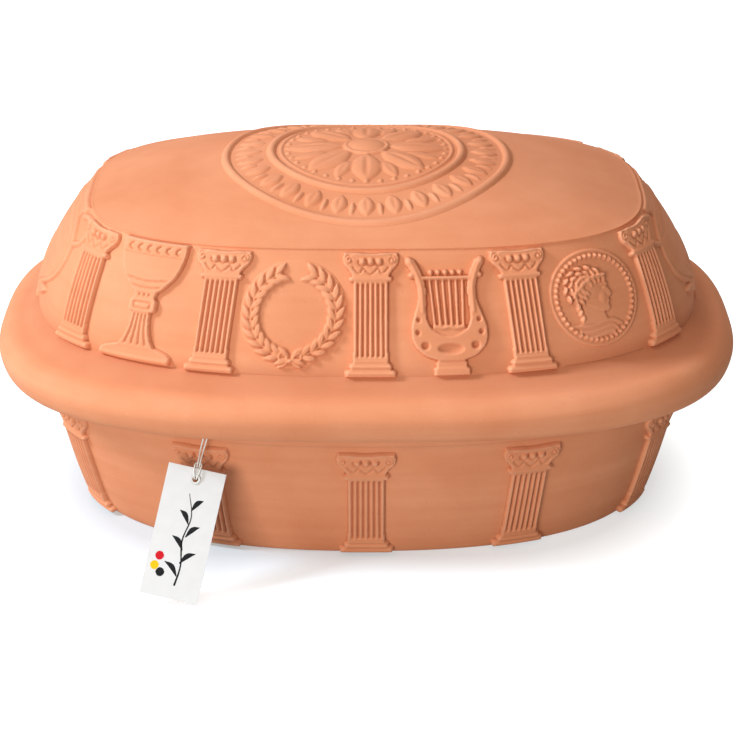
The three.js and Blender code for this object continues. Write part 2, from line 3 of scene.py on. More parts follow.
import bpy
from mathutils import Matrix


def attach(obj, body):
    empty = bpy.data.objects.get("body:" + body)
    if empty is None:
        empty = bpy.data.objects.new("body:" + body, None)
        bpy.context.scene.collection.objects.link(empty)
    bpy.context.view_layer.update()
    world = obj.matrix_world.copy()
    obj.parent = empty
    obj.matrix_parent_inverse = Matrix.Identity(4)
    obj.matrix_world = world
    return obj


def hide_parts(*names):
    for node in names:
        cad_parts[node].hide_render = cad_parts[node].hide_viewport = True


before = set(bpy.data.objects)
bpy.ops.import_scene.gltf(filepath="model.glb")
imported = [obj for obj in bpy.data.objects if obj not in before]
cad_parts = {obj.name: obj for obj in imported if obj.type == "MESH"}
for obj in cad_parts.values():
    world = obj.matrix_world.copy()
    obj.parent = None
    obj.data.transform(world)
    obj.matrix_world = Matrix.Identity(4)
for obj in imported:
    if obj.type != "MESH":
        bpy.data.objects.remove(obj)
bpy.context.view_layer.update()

import copy
import logging
import math
from dataclasses import astuple, dataclass, replace
from enum import Enum
from typing import Callable, Sequence

import bmesh
import bpy
import numpy as np
from mathutils import Matrix, Vector

MM = 0.001
TURN = 2 * math.pi
FRONT = -math.pi / 2
RING_STEPS = 288
# Vertex layer of painted light: shade painted in creases, coves and under the collar, highlight painted on
# relief ridges.
SHADE_AND_HIGHLIGHT_LAYER = "hollow"
ALL_SOFT = 180
STRING_X = -83
EYE_FROM_RIM = (-7.1, -8, -41.4)
LONG_SIDES = (("front", 0.0), ("back", math.pi))

log = logging.getLogger("roaster")
Place = tuple[float, float]
Colour = tuple[float, float, float, float]
Line = Callable[[float], float]


class Body(str, Enum):
    """The bodies of the frame that pieces ride on."""

    TROUGH = "root"
    LID = "lid"
    TAG = "tag"


class Slot(str, Enum):
    """The record's material slots."""

    CLAY = "clay"
    CARD = "card"
    EYELET = "eyelet_metal"
    STRING = "string"


class Tool(Enum):
    """What a die's tool does to the clay."""

    RAISE = "raise"
    SINK = "sink"


@dataclass(frozen=True)
class Level:
    """One oval ring of a body, in millimetres: half length and width, squareness, height and how much shade
    is painted on it.
    """

    a: float
    b: float
    square: float
    z: float
    # How much shade is painted on the ring, in a cove or under the collar.
    hollow: float = 0.0

    def grown(self, distance: float, z: float | None = None) -> "Level":
        """The ring moved outwards by a distance.

        Args:
            distance: How far, negative for inwards.
            z: A new height, or None to keep it.

        Returns:
            The new ring.
        """
        return replace(self, a=self.a + distance, b=self.b + distance, z=self.z if z is None else z)

    def with_painted_shade(self, hollow: float) -> "Level":
        """The ring with shade painted on it."""
        return replace(self, hollow=hollow)

    def points(self, bearings: np.ndarray) -> np.ndarray:
        """Places on the ring.

        Args:
            bearings: Angles, 0 at +X.

        Returns:
            An array of places, one for each bearing.
        """
        c, s = np.cos(bearings), np.sin(bearings)
        power = 2 / self.square
        x = self.a * np.sign(c) * np.abs(c) ** power
        y = self.b * np.sign(s) * np.abs(s) ** power
        return np.stack([x, y, np.full_like(x, self.z)], axis=-1)


def mix(low: float, high: float, share: float) -> float:
    """The value at a share of the way from low to high."""
    return low + (high - low) * share


def with_ends(knots: np.ndarray) -> np.ndarray:
    """A row of knots with one more beyond each end, straight on."""
    return np.vstack([2 * knots[0] - knots[1], knots, 2 * knots[-1] - knots[-2]])


def spline(knots: np.ndarray, steps: int) -> np.ndarray:
    """A smooth row of places through knots.

    Args:
        knots: The places to pass through, one in each row.
        steps: How many steps each span gets.

    Returns:
        The places, ends included.
    """
    padded = with_ends(knots)
    rows = []
    for i in range(1, len(padded) - 2):
        before, start, end, after = padded[i - 1 : i + 3]
        for t in np.arange(steps) / steps:
            bend = 2 * start + (end - before) * t
            bend = bend + (2 * before - 5 * start + 4 * end - after) * t**2
            rows.append((bend + (3 * start - before - 3 * end + after) * t**3) / 2)
    rows.append(knots[-1])
    return np.array(rows)


def curve(knots: Sequence[Place], steps: int) -> list[Place]:
    """A smooth outline through a few places of a drawing."""
    return [tuple(place) for place in spline(np.array(knots), steps)]


def polar(at: Place, reach: float, angle: float) -> Place:
    """The place at a distance and an angle from another."""
    return (at[0] + reach * math.cos(angle), at[1] + reach * math.sin(angle))


def lengths(line: np.ndarray) -> np.ndarray:
    """How far along a row of places each of them lies."""
    return np.concatenate([[0], np.cumsum(np.linalg.norm(np.diff(line, axis=0), axis=1))])


def smooth_levels(levels: Sequence[Level], steps: int) -> list[Level]:
    """Rings on a smooth wall through a few given rings.

    Args:
        levels: The rings to pass through.
        steps: How many rings each span gets.

    Returns:
        The rings in order.
    """
    knots = np.array([astuple(ring) for ring in levels])
    return [Level(*map(float, row)) for row in spline(knots, steps)]


def straight_levels(low: Level, high: Level, steps: int) -> list[Level]:
    """Rings on a straight wall between two rings, the last left out.

    Args:
        low: The first ring.
        high: The ring that follows.
        steps: How many rings to give.

    Returns:
        The rings in order.
    """
    ends = np.array([astuple(low), astuple(high)])
    return [Level(*map(float, mix(ends[0], ends[1], i / steps))) for i in range(steps)]


def loft(levels: Sequence[Level]) -> bmesh.types.BMesh:
    """A closed body through oval rings, drawn as a sheet that is rolled up.

    Args:
        levels: The rings in order; the first and last have no size and close the body.

    Returns:
        The body, in millimetres.
    """
    bm = bmesh.new()
    bearings = np.arange(RING_STEPS + 1) / RING_STEPS * TURN
    places = np.array([ring.points(bearings) for ring in levels])
    # Each ring's painted shade goes on to its corners.
    press_grid(bm, places, np.array([[ring.hollow] * len(bearings) for ring in levels]))
    bmesh.ops.remove_doubles(bm, verts=bm.verts, dist=0.01)
    bmesh.ops.recalc_face_normals(bm, faces=bm.faces)
    return bm


def make_piece(
    bm: bmesh.types.BMesh,
    name: str,
    finish: bpy.types.Material,
    body: Body,
    stands_for: str | None,
    sharp_over: float = 40,
) -> bpy.types.Object:
    """Turns a body drawn in millimetres into a piece of the scene.

    Args:
        bm: The body, which is freed.
        name: The piece's name.
        finish: Its material.
        body: The body of the frame that it rides on.
        stands_for: The CAD node that it is shown instead of, if any.
        sharp_over: Edges that turn by more than this many degrees stay sharp.

    Returns:
        The new object.
    """
    bmesh.ops.scale(bm, vec=Vector((MM, MM, MM)), verts=bm.verts)
    mesh = bpy.data.meshes.new(name)
    bm.to_mesh(mesh)
    bm.free()
    mesh.polygons.foreach_set("use_smooth", [True] * len(mesh.polygons))
    mesh.set_sharp_from_angle(angle=math.radians(sharp_over))
    mesh.materials.append(finish)
    piece = bpy.data.objects.new(name, mesh)
    bpy.context.scene.collection.objects.link(piece)
    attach(piece, body.value)
    if stands_for:
        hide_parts(stands_for)
    log.info("%s: %d faces on %s", name, len(mesh.polygons), body.value)
    return piece


def soften(heights: np.ndarray, times: int) -> np.ndarray:
    """Smooths a sheet of heights.

    Args:
        heights: The sheet.
        times: How many times each place is blended with its neighbours.

    Returns:
        The smoothed sheet.
    """
    for _ in range(times):
        wide = np.pad(heights, 1, mode="edge")
        heights = (wide[1:-1, 1:-1] * 2 + wide[:-2, 1:-1] + wide[2:, 1:-1]) / 4
        wide = np.pad(heights, 1, mode="edge")
        heights = (wide[1:-1, 1:-1] * 2 + wide[1:-1, :-2] + wide[1:-1, 2:]) / 4
    return heights


@dataclass(frozen=True)
class Relief:
    """A pressed sheet of clay: heights over a flat drawing, in millimetres."""

    left: float
    low: float
    width: float
    height: float
    heights: np.ndarray

    @property
    def painted_shade_and_highlight(self) -> np.ndarray:
        """How far each place lies below the clay close round it, in millimetres, which the finish paints as
        shade in hollows and as highlight on ridges.
        """
        return soften(self.heights, 8) - self.heights

    def columns(self) -> np.ndarray:
        """The drawing's x at each column of the sheet."""
        return self.left + np.linspace(0, self.width, self.heights.shape[1])

    def rows(self) -> np.ndarray:
        """The drawing's y at each row of the sheet."""
        return self.low + np.linspace(0, self.height, self.heights.shape[0])


@dataclass
class Die:
    """A flat stamp with raised and sunk tools, x to the right, y up and z towards the viewer."""

    left: float
    low: float
    width: float
    height: float
    cell: float = 0.42

    def __post_init__(self) -> None:
        """Lays out the sheet that the tools press."""
        xs = np.linspace(0, self.width, round(self.width / self.cell) + 1)
        ys = np.linspace(0, self.height, round(self.height / self.cell) + 1)
        self.x, self.y = np.meshgrid(self.left + xs, self.low + ys)
        self.over = np.zeros_like(self.x)
        self.under = np.full_like(self.x, np.inf)

    def zoomed(self, scale: float, at: Place) -> "Die":
        """The same sheet, for tools that are drawn at another size.

        Args:
            scale: How much larger they come out.
            at: Where their origin lies.

        Returns:
            A die that presses the same sheet.
        """
        other = copy.copy(self)
        other.x, other.y = (self.x - at[0]) / scale, (self.y - at[1]) / scale
        return other

    def _stamp(self, room: np.ndarray, height: float, base: float, tool: Tool) -> None:
        """Presses a rounded tool.

        Args:
            room: 1 on the tool's middle line, 0 at its edge.
            height: How far it stands up, or goes down.
            base: The height of its middle.
            tool: Whether it is raised or sunk.
        """
        inside = room > 0
        reach = height * np.sqrt(room[inside])
        if tool is Tool.RAISE:
            self.over[inside] = np.maximum(self.over[inside], base + reach)
        else:
            self.under[inside] = np.minimum(self.under[inside], base - reach)

    def _seen_from(self, at: Place, turn: float) -> tuple[np.ndarray, np.ndarray]:
        """The sheet's places as seen from a turned tool.

        Args:
            at: The tool's middle.
            turn: Its angle in the drawing, in degrees.

        Returns:
            How far along the tool and across it each place lies.
        """
        c, s = math.cos(math.radians(turn)), math.sin(math.radians(turn))
        x, y = self.x - at[0], self.y - at[1]
        return x * c + y * s, y * c - x * s

    def bead(
        self,
        at: Place,
        size: Place,
        height: float,
        base: float = 0,
        turn: float = 0,
        tool: Tool = Tool.RAISE,
    ) -> None:
        """A rounded bump or hollow.

        Args:
            at: Its middle.
            size: Its half length and half width.
            height: How far it stands up, or goes down.
            base: The height of its middle.
            turn: Its angle in the drawing, in degrees.
            tool: Whether it is raised or sunk.
        """
        along, across = self._seen_from(at, turn)
        self._stamp(1 - (along / size[0]) ** 2 - (across / size[1]) ** 2, height, base, tool)

    def leaf(
        self, at: Place, length: float, width: float, turn: float, height: float, base: float = 0
    ) -> None:
        """A pointed leaf with a sunk midrib.

        Args:
            at: Its middle.
            length: From stalk to tip.
            width: Across.
            turn: The tip's direction, in degrees.
            height: How far it stands up.
            base: The height of its edge.
        """
        along, across = self._seen_from(at, turn)
        taper = np.maximum(1e-6, 1 - (2 * along / length) ** 2)
        self._stamp(taper - (2 * across / width) ** 2 / taper, height, base, Tool.RAISE)
        ends = [polar(at, reach * length, math.radians(turn)) for reach in (-0.34, 0.34)]
        self.roll(ends, width * 0.09, height * 0.35, base + height, Tool.SINK)

    def plate(self, outline: Sequence[Place], height: float) -> None:
        """A raised flat shape.

        Args:
            outline: Its corners in order.
            height: How far it stands up.
        """
        inside = np.zeros(self.x.shape, bool)
        for (x0, y0), (x1, y1) in zip(outline, [*outline[1:], outline[0]]):
            if y0 != y1:
                edge = x0 + (self.y - y0) * (x1 - x0) / (y1 - y0)
                inside ^= ((y0 > self.y) != (y1 > self.y)) & (self.x < edge)
        self.over[inside] = np.maximum(self.over[inside], height)

    def even_plate(self, right: Sequence[Place], height: float) -> None:
        """A raised flat shape that is the same on both sides.

        Args:
            right: The corners of its right half, low to high.
            height: How far it stands up.
        """
        self.plate([*right, *[(-x, y) for x, y in reversed(right) if x > 0]], height)

    def disc(self, at: Place, radius: float, height: float) -> None:
        """A raised round plate.

        Args:
            at: Its middle.
            radius: Its radius.
            height: How far it stands up.
        """
        inside = np.hypot(self.x - at[0], self.y - at[1]) < radius
        self.over[inside] = np.maximum(self.over[inside], height)

    def roll(
        self, path: Sequence[Place], radius: float, height: float, base: float = 0, tool: Tool = Tool.RAISE
    ) -> None:
        """A rounded bar or groove along a path.

        Args:
            path: The places that it passes through.
            radius: Half its width.
            height: How far it stands up, or goes down.
            base: The height of its middle line.
            tool: Whether it is raised or sunk.
        """
        line = spline(np.array(path, float), 1 if len(path) == 2 else 8)
        near = np.full_like(self.x, np.inf)
        for (x, y), (dx, dy) in zip(line[:-1], np.diff(line, axis=0)):
            share = ((self.x - x) * dx + (self.y - y) * dy) / max(1e-9, dx * dx + dy * dy)
            share = np.clip(share, 0, 1)
            near = np.minimum(near, np.hypot(self.x - x - share * dx, self.y - y - share * dy))
        self._stamp(1 - (near / radius) ** 2, height, base, tool)

    def bar(
        self,
        half: float,
        y: float,
        radius: float,
        height: float,
        base: float = 0,
        tool: Tool = Tool.RAISE,
    ) -> None:
        """A level bar or groove across the drawing's middle.

        Args:
            half: Half its length.
            y: Where it lies.
            radius: Half its width.
            height: How far it stands up, or goes down.
            base: The height of its middle line.
            tool: Whether it is raised or sunk.
        """
        self.roll([(-half, y), (half, y)], radius, height, base, tool)

    def even_roll(
        self, path: Sequence[Place], radius: float, height: float, base: float = 0, tool: Tool = Tool.RAISE
    ) -> None:
        """A rounded bar or groove and its mirror image.

        Args:
            path: The places on the right that it passes through.
            radius: Half its width.
            height: How far it stands up, or goes down.
            base: The height of its middle line.
            tool: Whether it is raised or sunk.
        """
        self.roll(path, radius, height, base, tool)
        self.roll([(-x, y) for x, y in path], radius, height, base, tool)

    def ring(self, at: Place, radius: float, thick: float, height: float) -> None:
        """A rounded ring.

        Args:
            at: Its middle.
            radius: The radius of its middle line.
            thick: Half its width.
            height: How far it stands up.
        """
        near = np.hypot(self.x - at[0], self.y - at[1]) - radius
        self._stamp(1 - (near / thick) ** 2, height, 0, Tool.RAISE)

    def press(self) -> Relief:
        """Presses a sheet of clay over the tools.

        Returns:
            The pressed sheet.
        """
        heights = soften(np.minimum(self.over, np.maximum(0, self.under)), 1)
        return Relief(self.left, self.low, self.width, self.height, heights)


@dataclass(frozen=True)
class Wall:
    """A curved wall that reliefs are laid on."""

    level_at: Callable[[float], Level]
    low: float
    high: float
    drawn: float
    bury: float = 0.14
    depth: float = 1.6
    swell: float = 1.3
    climb_steps: int = 241
    walk_steps: int = 6001
    walk_reach: float = 2.2
    back_columns: int = 13
    back_rows: int = 9

    def climb(self, bearing: float, drawn: np.ndarray) -> np.ndarray:
        """Shares of the wall's height at drawn heights, by length along the slope.

        Args:
            bearing: Where on the wall the slope is taken.
            drawn: Heights in the drawing.

        Returns:
            The shares.
        """
        shares = np.linspace(0, 1, self.climb_steps)
        line = np.array([self.level_at(share).points(np.array([bearing]))[0] for share in shares])
        reach = lengths(line)
        foot, head = np.interp([self.low, self.high], shares, reach)
        return np.interp(foot + drawn / self.drawn * (head - foot), reach, shares)

    def walk(self, bearing: float, share: float, distances: np.ndarray) -> np.ndarray:
        """Bearings that lie at distances to the right of another, along the wall.

        Args:
            bearing: The bearing to start from.
            share: The share of the wall's height.
            distances: How far to the right, in millimetres.

        Returns:
            The bearings.
        """
        bearings = bearing + np.linspace(-self.walk_reach, self.walk_reach, self.walk_steps)
        reach = lengths(self.level_at(share).points(bearings))
        return np.interp(distances, reach - reach[len(reach) // 2], bearings)

    def line(self, steps: float, pitch: float, top_pitch: float, shift: float, turn: float) -> Line:
        """The middle line of a relief, in pitches from the middle of a long side.

        Args:
            steps: How many pitches to the right.
            pitch: The pitch along the wall's foot.
            top_pitch: The pitch along its top.
            shift: How far the row as a whole lies to the right.
            turn: The side's turn from the front.

        Returns:
            The line.
        """

        def bearing(share: float) -> float:
            """The bearing at a share of the wall's height."""
            distance = shift + steps * mix(pitch, top_pitch, share)
            return turn + float(self.walk(FRONT, share, np.array([distance]))[0])

        return bearing

    def lay(self, relief: Relief, line: Line, widen: float = 1) -> bmesh.types.BMesh:
        """Bends a relief on to the wall, as a closed slip of clay that is sunk into it.

        Args:
            relief: The pressed sheet.
            line: The bearing of its middle at each share of the wall's height.
            widen: How much wider than drawn it gets.

        Returns:
            The slip, in millimetres.
        """
        heights = relief.heights * self.swell - self.bury
        front = self._bend(relief.columns() * widen, relief.rows(), line, heights)
        columns = np.linspace(relief.columns()[0], relief.columns()[-1], self.back_columns) * widen
        rows = np.linspace(relief.rows()[0], relief.rows()[-1], self.back_rows)
        back = self._bend(columns, rows, line, np.full((len(rows), len(columns)), -self.depth))
        # The face carries painted shade in its hollows and painted highlight on its ridges.
        return close_slip(front, relief.painted_shade_and_highlight * self.swell, back)

    def _bend(self, xs: np.ndarray, ys: np.ndarray, line: Line, heights: np.ndarray) -> np.ndarray:
        """Places of a sheet that follows the wall.

        Args:
            xs: The drawing's x at each column.
            ys: The drawing's y at each row.
            line: The bearing of the drawing's middle at each share of the wall's height.
            heights: How far each corner stands out from the wall.

        Returns:
            The places, by row and column.
        """
        step = 2e-3
        shares = self.climb(line(0.5), ys)
        places = np.zeros((len(ys), len(xs), 3))
        for row, share in enumerate(shares):
            at = self.walk(line(share), share, xs)
            level = self.level_at(share)
            along = level.points(at + step) - level.points(at - step)
            low, high = max(0.0, share - step), min(1.0, share + step)
            up = self.level_at(high).points(at) - self.level_at(low).points(at)
            out = np.cross(along, up)
            out /= np.linalg.norm(out, axis=1, keepdims=True)
            places[row] = level.points(at) + out * heights[row][:, None]
        return places


def upright(bearing: float) -> Line:
    """The middle line of a relief that keeps to one bearing."""
    return lambda share: bearing


def press_grid(bm: bmesh.types.BMesh, places: np.ndarray, painted_shade_and_highlight: np.ndarray | None = None) -> None:
    """Adds a grid of faces and moves its corners to places.

    Args:
        bm: The body to add it to.
        places: The corners' places, by row and column.
        painted_shade_and_highlight: How much painted shade, or painted highlight where negative, each
            corner gets, if any.
    """
    rows, columns = places.shape[0] - 1, places.shape[1] - 1
    layer = bm.verts.layers.float.get(SHADE_AND_HIGHLIGHT_LAYER) or bm.verts.layers.float.new(SHADE_AND_HIGHLIGHT_LAYER)
    made = bmesh.ops.create_grid(bm, x_segments=columns, y_segments=rows, size=1)
    for vert in made["verts"]:
        column = round((vert.co.x + 1) / 2 * columns)
        row = round((vert.co.y + 1) / 2 * rows)
        vert.co = places[row, column]
        # Stores the painted shade, or painted highlight where negative, for the finish.
        if painted_shade_and_highlight is not None:
            vert[layer] = painted_shade_and_highlight[row, column]


def close_slip(front: np.ndarray, painted_shade_and_highlight: np.ndarray, back: np.ndarray) -> bmesh.types.BMesh:
    """A closed slip of clay between a fine face and a coarse back.

    Args:
        front: The places of its face, by row and column.
        painted_shade_and_highlight: How much painted shade, or painted highlight where negative, each place
            of the face gets.
        back: The places of its back.

    Returns:
        The slip, in millimetres.
    """
    bm = bmesh.new()
    press_grid(bm, front, painted_shade_and_highlight)
    press_grid(bm, back)
    bmesh.ops.bridge_loops(bm, edges=[edge for edge in bm.edges if edge.is_boundary])
    bmesh.ops.recalc_face_normals(bm, faces=bm.faces)
    return bm


class Ornaments:
    """The dies of the frieze. Each drawing stands on y = 0 and is as tall as the frieze."""

    TALL = 64

    def column(self) -> Relief:
        """A column with stepped plinth, fluted shaft and scrolled capital.

        Returns:
            The pressed sheet.
        """
        die = Die(-17.5, -0.8, 35, self.TALL + 1.6)
        die.even_plate([(13, 0), (12.8, 2.2), (11.4, 3.8)], 2.3)
        die.bar(11.8, 1.8, 1.7, 2.8)
        die.even_plate([(10.6, 3.4), (10.2, 6.8)], 2.2)
        die.bar(9.8, 5.1, 1.5, 2.8)
        die.even_plate([(9.4, 6.6), (9.3, 9.2)], 2.1)
        die.bar(8.7, 7.9, 0.8, 2.5)
        die.even_plate([(9.1, 9), (8.9, 30), (8.8, 48.8)], 2.2)
        for flute in range(6):
            x = (flute - 2.5) * 2.7
            die.roll([(x, 10.6), (x * 0.98, 30), (x * 0.97, 46.8)], 0.6, 1.8, 2.4, Tool.SINK)
        die.even_plate([(10.6, 48.2), (11, 50.6)], 2.4)
        die.bar(10.4, 49.5, 0.9, 2.7)
        bell = [(9.6, 50.6), (10, 52.4), (11.6, 54.4), (13.4, 56.4)]
        bell += [(14.4, 60), (13.8, 62.8), (10, 63), (0, 62.2)]
        die.even_plate(bell, 2.1)
        zigzag = [(-9.2, 55.6), (-7.6, 53.6), (-5.6, 52.6), (-3.8, 55), (-2, 53.2), (0, 51.9)]
        die.roll(zigzag, 0.42, 1, 2.2, Tool.SINK)
        die.roll([(-x, y) for x, y in reversed(zigzag)], 0.42, 1, 2.2, Tool.SINK)
        die.roll([(-8.6, 62.4), (0, 61.8), (8.6, 62.4)], 0.7, 2.6)
        for side in (-1, 1):
            die.bead((side * 11.2, 59.2), (3.4, 3.5), 2.9)
            curl = [self._curl(side, step) for step in range(12)]
            die.roll(curl, 0.5, 1.6, 3, Tool.SINK)
        for spot in range(-1, 2):
            at = (spot * 4.3, 58.4)
            die.bead(at, (1.8, 1.8), 1.3, 1.9)
            arc = [polar(at, 2.15, angle) for angle in (-3.4, -2.4, -1.4, -0.4, 0.6)]
            die.roll(arc, 0.4, 0.9, 2.1, Tool.SINK)
        return die.press()

    @staticmethod
    def _curl(side: int, step: int) -> Place:
        """A place on the groove of a capital's scroll, from the outside in."""
        x, y = polar((11.2, 59.2), 2.6 - 0.19 * step, math.radians(110 - 45 * step))
        return (side * x, y)

    def goblet(self) -> Relief:
        """A banded goblet on a fluted foot.

        Returns:
            The pressed sheet.
        """
        die = Die(-24, -0.8, 48, self.TALL + 1.6)
        die.even_plate([(20.8, 0.4), (20.8, 4.4), (18, 6.2), (12, 8.2)], 2)
        die.bar(19.4, 2.5, 2.1, 2.7)
        die.even_plate(curve([(11.4, 7.6), (8.6, 11.4), (6.6, 16.4), (5.4, 22), (5, 26.6)], 4), 2.2)
        die.even_roll([(1.1, 25), (1.3, 17), (2, 9.6)], 0.5, 1.1, 2.3, Tool.SINK)
        die.even_roll([(3.1, 25), (3.9, 17), (6, 9.6)], 0.5, 1.1, 2.3, Tool.SINK)
        die.even_plate([(6.2, 26.2), (7.2, 27.2), (7.2, 32.4), (6.2, 33.4)], 2.6)
        die.even_roll([(6.6, 28), (6.6, 31.6)], 1.3, 2.7)
        slot = [(-4.2, 28.4), (0, 28.2), (4.2, 28.4), (4.4, 29.8)]
        slot += [(4.2, 31.2), (0, 31.4), (-4.2, 31.2), (-4.4, 29.8)]
        die.roll([*slot, slot[0]], 0.42, 1, 2.7, Tool.SINK)
        die.even_plate([(6.2, 33.2), (6.4, 37)], 2.2)
        for spot in range(-1, 2):
            die.bead((spot * 2.6, 35.2), (0.6, 1), 1, 2.3, 0, Tool.SINK)
        bowl = [(6.4, 36.4), (10.4, 40.2), (15.2, 46.2), (17.8, 54.4), (18.6, 63.6)]
        die.even_plate(curve(bowl, 6), 2.4)
        for half, end, dip in ((8.4, 39.6, 38.8), (11.4, 43.4, 42.4)):
            die.roll([(-half, end), (0, dip), (half, end)], 0.42, 1, 2.5, Tool.SINK)
        die.bar(16.4, 56, 0.38, 0.9, 2.5, Tool.SINK)
        die.bar(17.4, 62.7, 0.9, 2.9)
        for spot in range(6):
            x = (spot - 2.5) * 5.4
            arc = [(x + 1, 61), (x - 0.6, 60), (x - 0.6, 58.4), (x + 1, 57.4)]
            die.roll(arc, 0.5, 1.2, 2.5, Tool.SINK)
        return die.press()

    def wreath(self) -> Relief:
        """A laurel wreath, open above and tied below.

        Returns:
            The pressed sheet.
        """
        middle, radius = 31.5, 22
        die = Die(-29.5, middle - 29.5, 59, 59)
        die.disc((0, middle), 27.8, 0.5)
        leaves = 12
        for side in (-1, 1):
            stem = []
            for leaf in range(leaves):
                angle = mix(-80, 70, leaf / (leaves - 1))
                out = Vector((side * math.cos(math.radians(angle)), math.sin(math.radians(angle))))
                heading = angle + 90 if side > 0 else 90 - angle
                stem.append((out.x * radius, middle + out.y * radius))
                for row, reach in ((-1, radius - 2.3), (1, radius + 2.4)):
                    at = (out.x * reach, middle + out.y * reach)
                    die.leaf(at, 9, 3.5, heading - side * row * 30, 2, 0.4)
            die.roll(stem, 0.5, 1.3, 0.4)
            die.roll([(side * 0.6, 8), (side * 4.2, 12.2), (side * 5.6, 8.8), (side * 0.6, 7.6)], 0.75, 2.2)
            die.roll([(side * 0.5, 7.6), (side * 3, 5.4), (side * 5.6, 4.4)], 0.75, 2)
        die.bead((0, 7.8), (1.5, 1.5), 2.6)
        return die.press()

    def lyre(self) -> Relief:
        """A lyre with curved arms, six strings and a pierced sound box.

        Returns:
            The pressed sheet.
        """
        die = Die(-24.5, -0.8, 49, self.TALL + 1.6)
        die.even_plate([(9.2, 0.4), (9.2, 3.8), (8, 4.6)], 2.2)
        die.even_plate([(8, 4.4), (8, 7.4), (6.4, 8.2)], 1.9)
        outer = [(7, 8), (13.4, 10.4), (18.6, 16), (19.8, 23.4), (17.8, 31), (15.4, 38)]
        outer += [(15.2, 45.6), (17, 51.6), (19.6, 57)]
        inner = [(15.6, 59.4), (12.8, 53.6), (10.8, 46.6), (10.8, 38.6), (11.4, 30.4)]
        inner += [(9, 24.4), (4, 21), (0, 20.2)]
        die.even_plate(curve(outer, 4) + curve(inner, 4), 2.3)
        die.even_roll([(13.2, 33), (13, 40), (13.2, 46), (15, 52), (17.6, 58)], 1.9, 2.8)
        for side in (-1, 1):
            die.bead((side * 18, 58), (3, 2.5), 3, 0, side * 50)
            die.bead((side * 17.6, 51.4), (1.7, 1.7), 2.6)
            holes = [(13, 15.6, (2.1, 2.1), 1.6), (16.4, 22.4, (1.2, 1.5), 1.3)]
            holes += [(15.6, 28.8, (1.1, 1.4), 1.3)]
            for x, y, size, deep in holes:
                die.bead((side * x, y), size, deep, 2.2, 0, Tool.SINK)
        die.bead((0, 14), (6.8, 2.7), 1.7, 2.3, 0, Tool.SINK)
        die.bar(12.4, 50, 1.2, 2.4)
        for spot in range(5):
            die.bead(((spot - 2) * 3.8, 52.8), (1.5, 1.5), 2.4)
        for string in range(6):
            x = (string - 2.5) * 3.4
            die.roll([(x, 49.6), (x * 0.86, 25)], 0.95, 1.8)
        die.even_plate([(7, 19), (9.4, 23.4), (7.4, 26.4)], 1.5)
        die.roll([(-7.6, 25.4), (-3.4, 24.4), (0, 25.2), (3.4, 24.4), (7.6, 25.4)], 1.1, 2.2)
        return die.press()

    def coin(self) -> Relief:
        """A coin with a beaded border and a plain head in profile.

        Returns:
            The pressed sheet.
        """
        middle = 33
        die = Die(-27.5, middle - 27.5, 55, 55)
        die.disc((0, middle), 25.6, 0.8)
        die.ring((0, middle), 24.9, 1, 1.2)
        beads = 46
        for bead in range(beads):
            die.bead(polar((0, middle), 22, bead / beads * TURN), (1.35, 1.35), 2, 0.3)
        head = die.zoomed(1.2, (-1.4, middle - 1.6))
        head.plate([(-7.5, -9), (-6, -4), (-6.5, 2), (4, 2), (3.4, -4.6), (5, -9)], 1.7)
        face = [(-4, -1), (3.2, -4.8), (6, -5), (7, -3.6), (6.4, -2.2), (7.2, -1), (6.8, 0.2), (9, 1.6)]
        face += [(7, 5.6), (7.3, 8), (6.2, 11.6), (2, 14), (-4, 12)]
        head.plate(face, 2)
        head.bead((-2.2, 6), (9.4, 8.6), 2.7, 0, -18)
        head.bead((3.8, 1), (3.4, 4.6), 2.5)
        head.roll([(4, 6.6), (5.6, 7), (7, 6.4)], 0.6, 2.7)
        head.leaf((5.5, 5.2), 2.4, 1.3, 0, 0.6, 2)
        self._locks(head)
        for fold in range(3):
            lift = fold * 2.5
            path = [(-12 + lift, -9.6 - lift), (-4, -10.4 - lift), (6, -9 - lift)]
            head.roll([*path, (11.4 - lift, -11.6 - lift * 0.7)], 0.8, 1.9)
        head.plate([(-11, -9.4), (-6, -8.4), (6, -8.4), (11, -11), (6, -15.6), (-6, -15.6)], 1.3)
        return die.press()

    @staticmethod
    def _locks(head: Die) -> None:
        """Adds rows of curls and a leaf circlet to the coin's head.

        Args:
            head: The die of the head.
        """
        for row in range(4):
            for lock in range(9):
                angle = math.radians(mix(20, 235, lock / 8) + row * 7)
                reach = 9.4 - row * 2.3
                at = (-3 + reach * math.cos(angle), 6.2 + reach * 0.92 * math.sin(angle))
                head.leaf(at, 4, 1.7, math.degrees(angle) + 70, 1.1, 2 + 0.2 * row)
        for leaf in range(7):
            share = leaf / 6
            at = (mix(-9, 5.4, share), mix(4, 10.4, share) + 2.2 * math.sin(share * math.pi))
            head.leaf(at, 4.4, 1.7, mix(60, 8, share), 1, 2.7)
        for lock in range(4):
            head.leaf((-8.6 + 0.5 * lock, 1 - 2.6 * lock), 4, 2, 250, 1.4, 1.5)

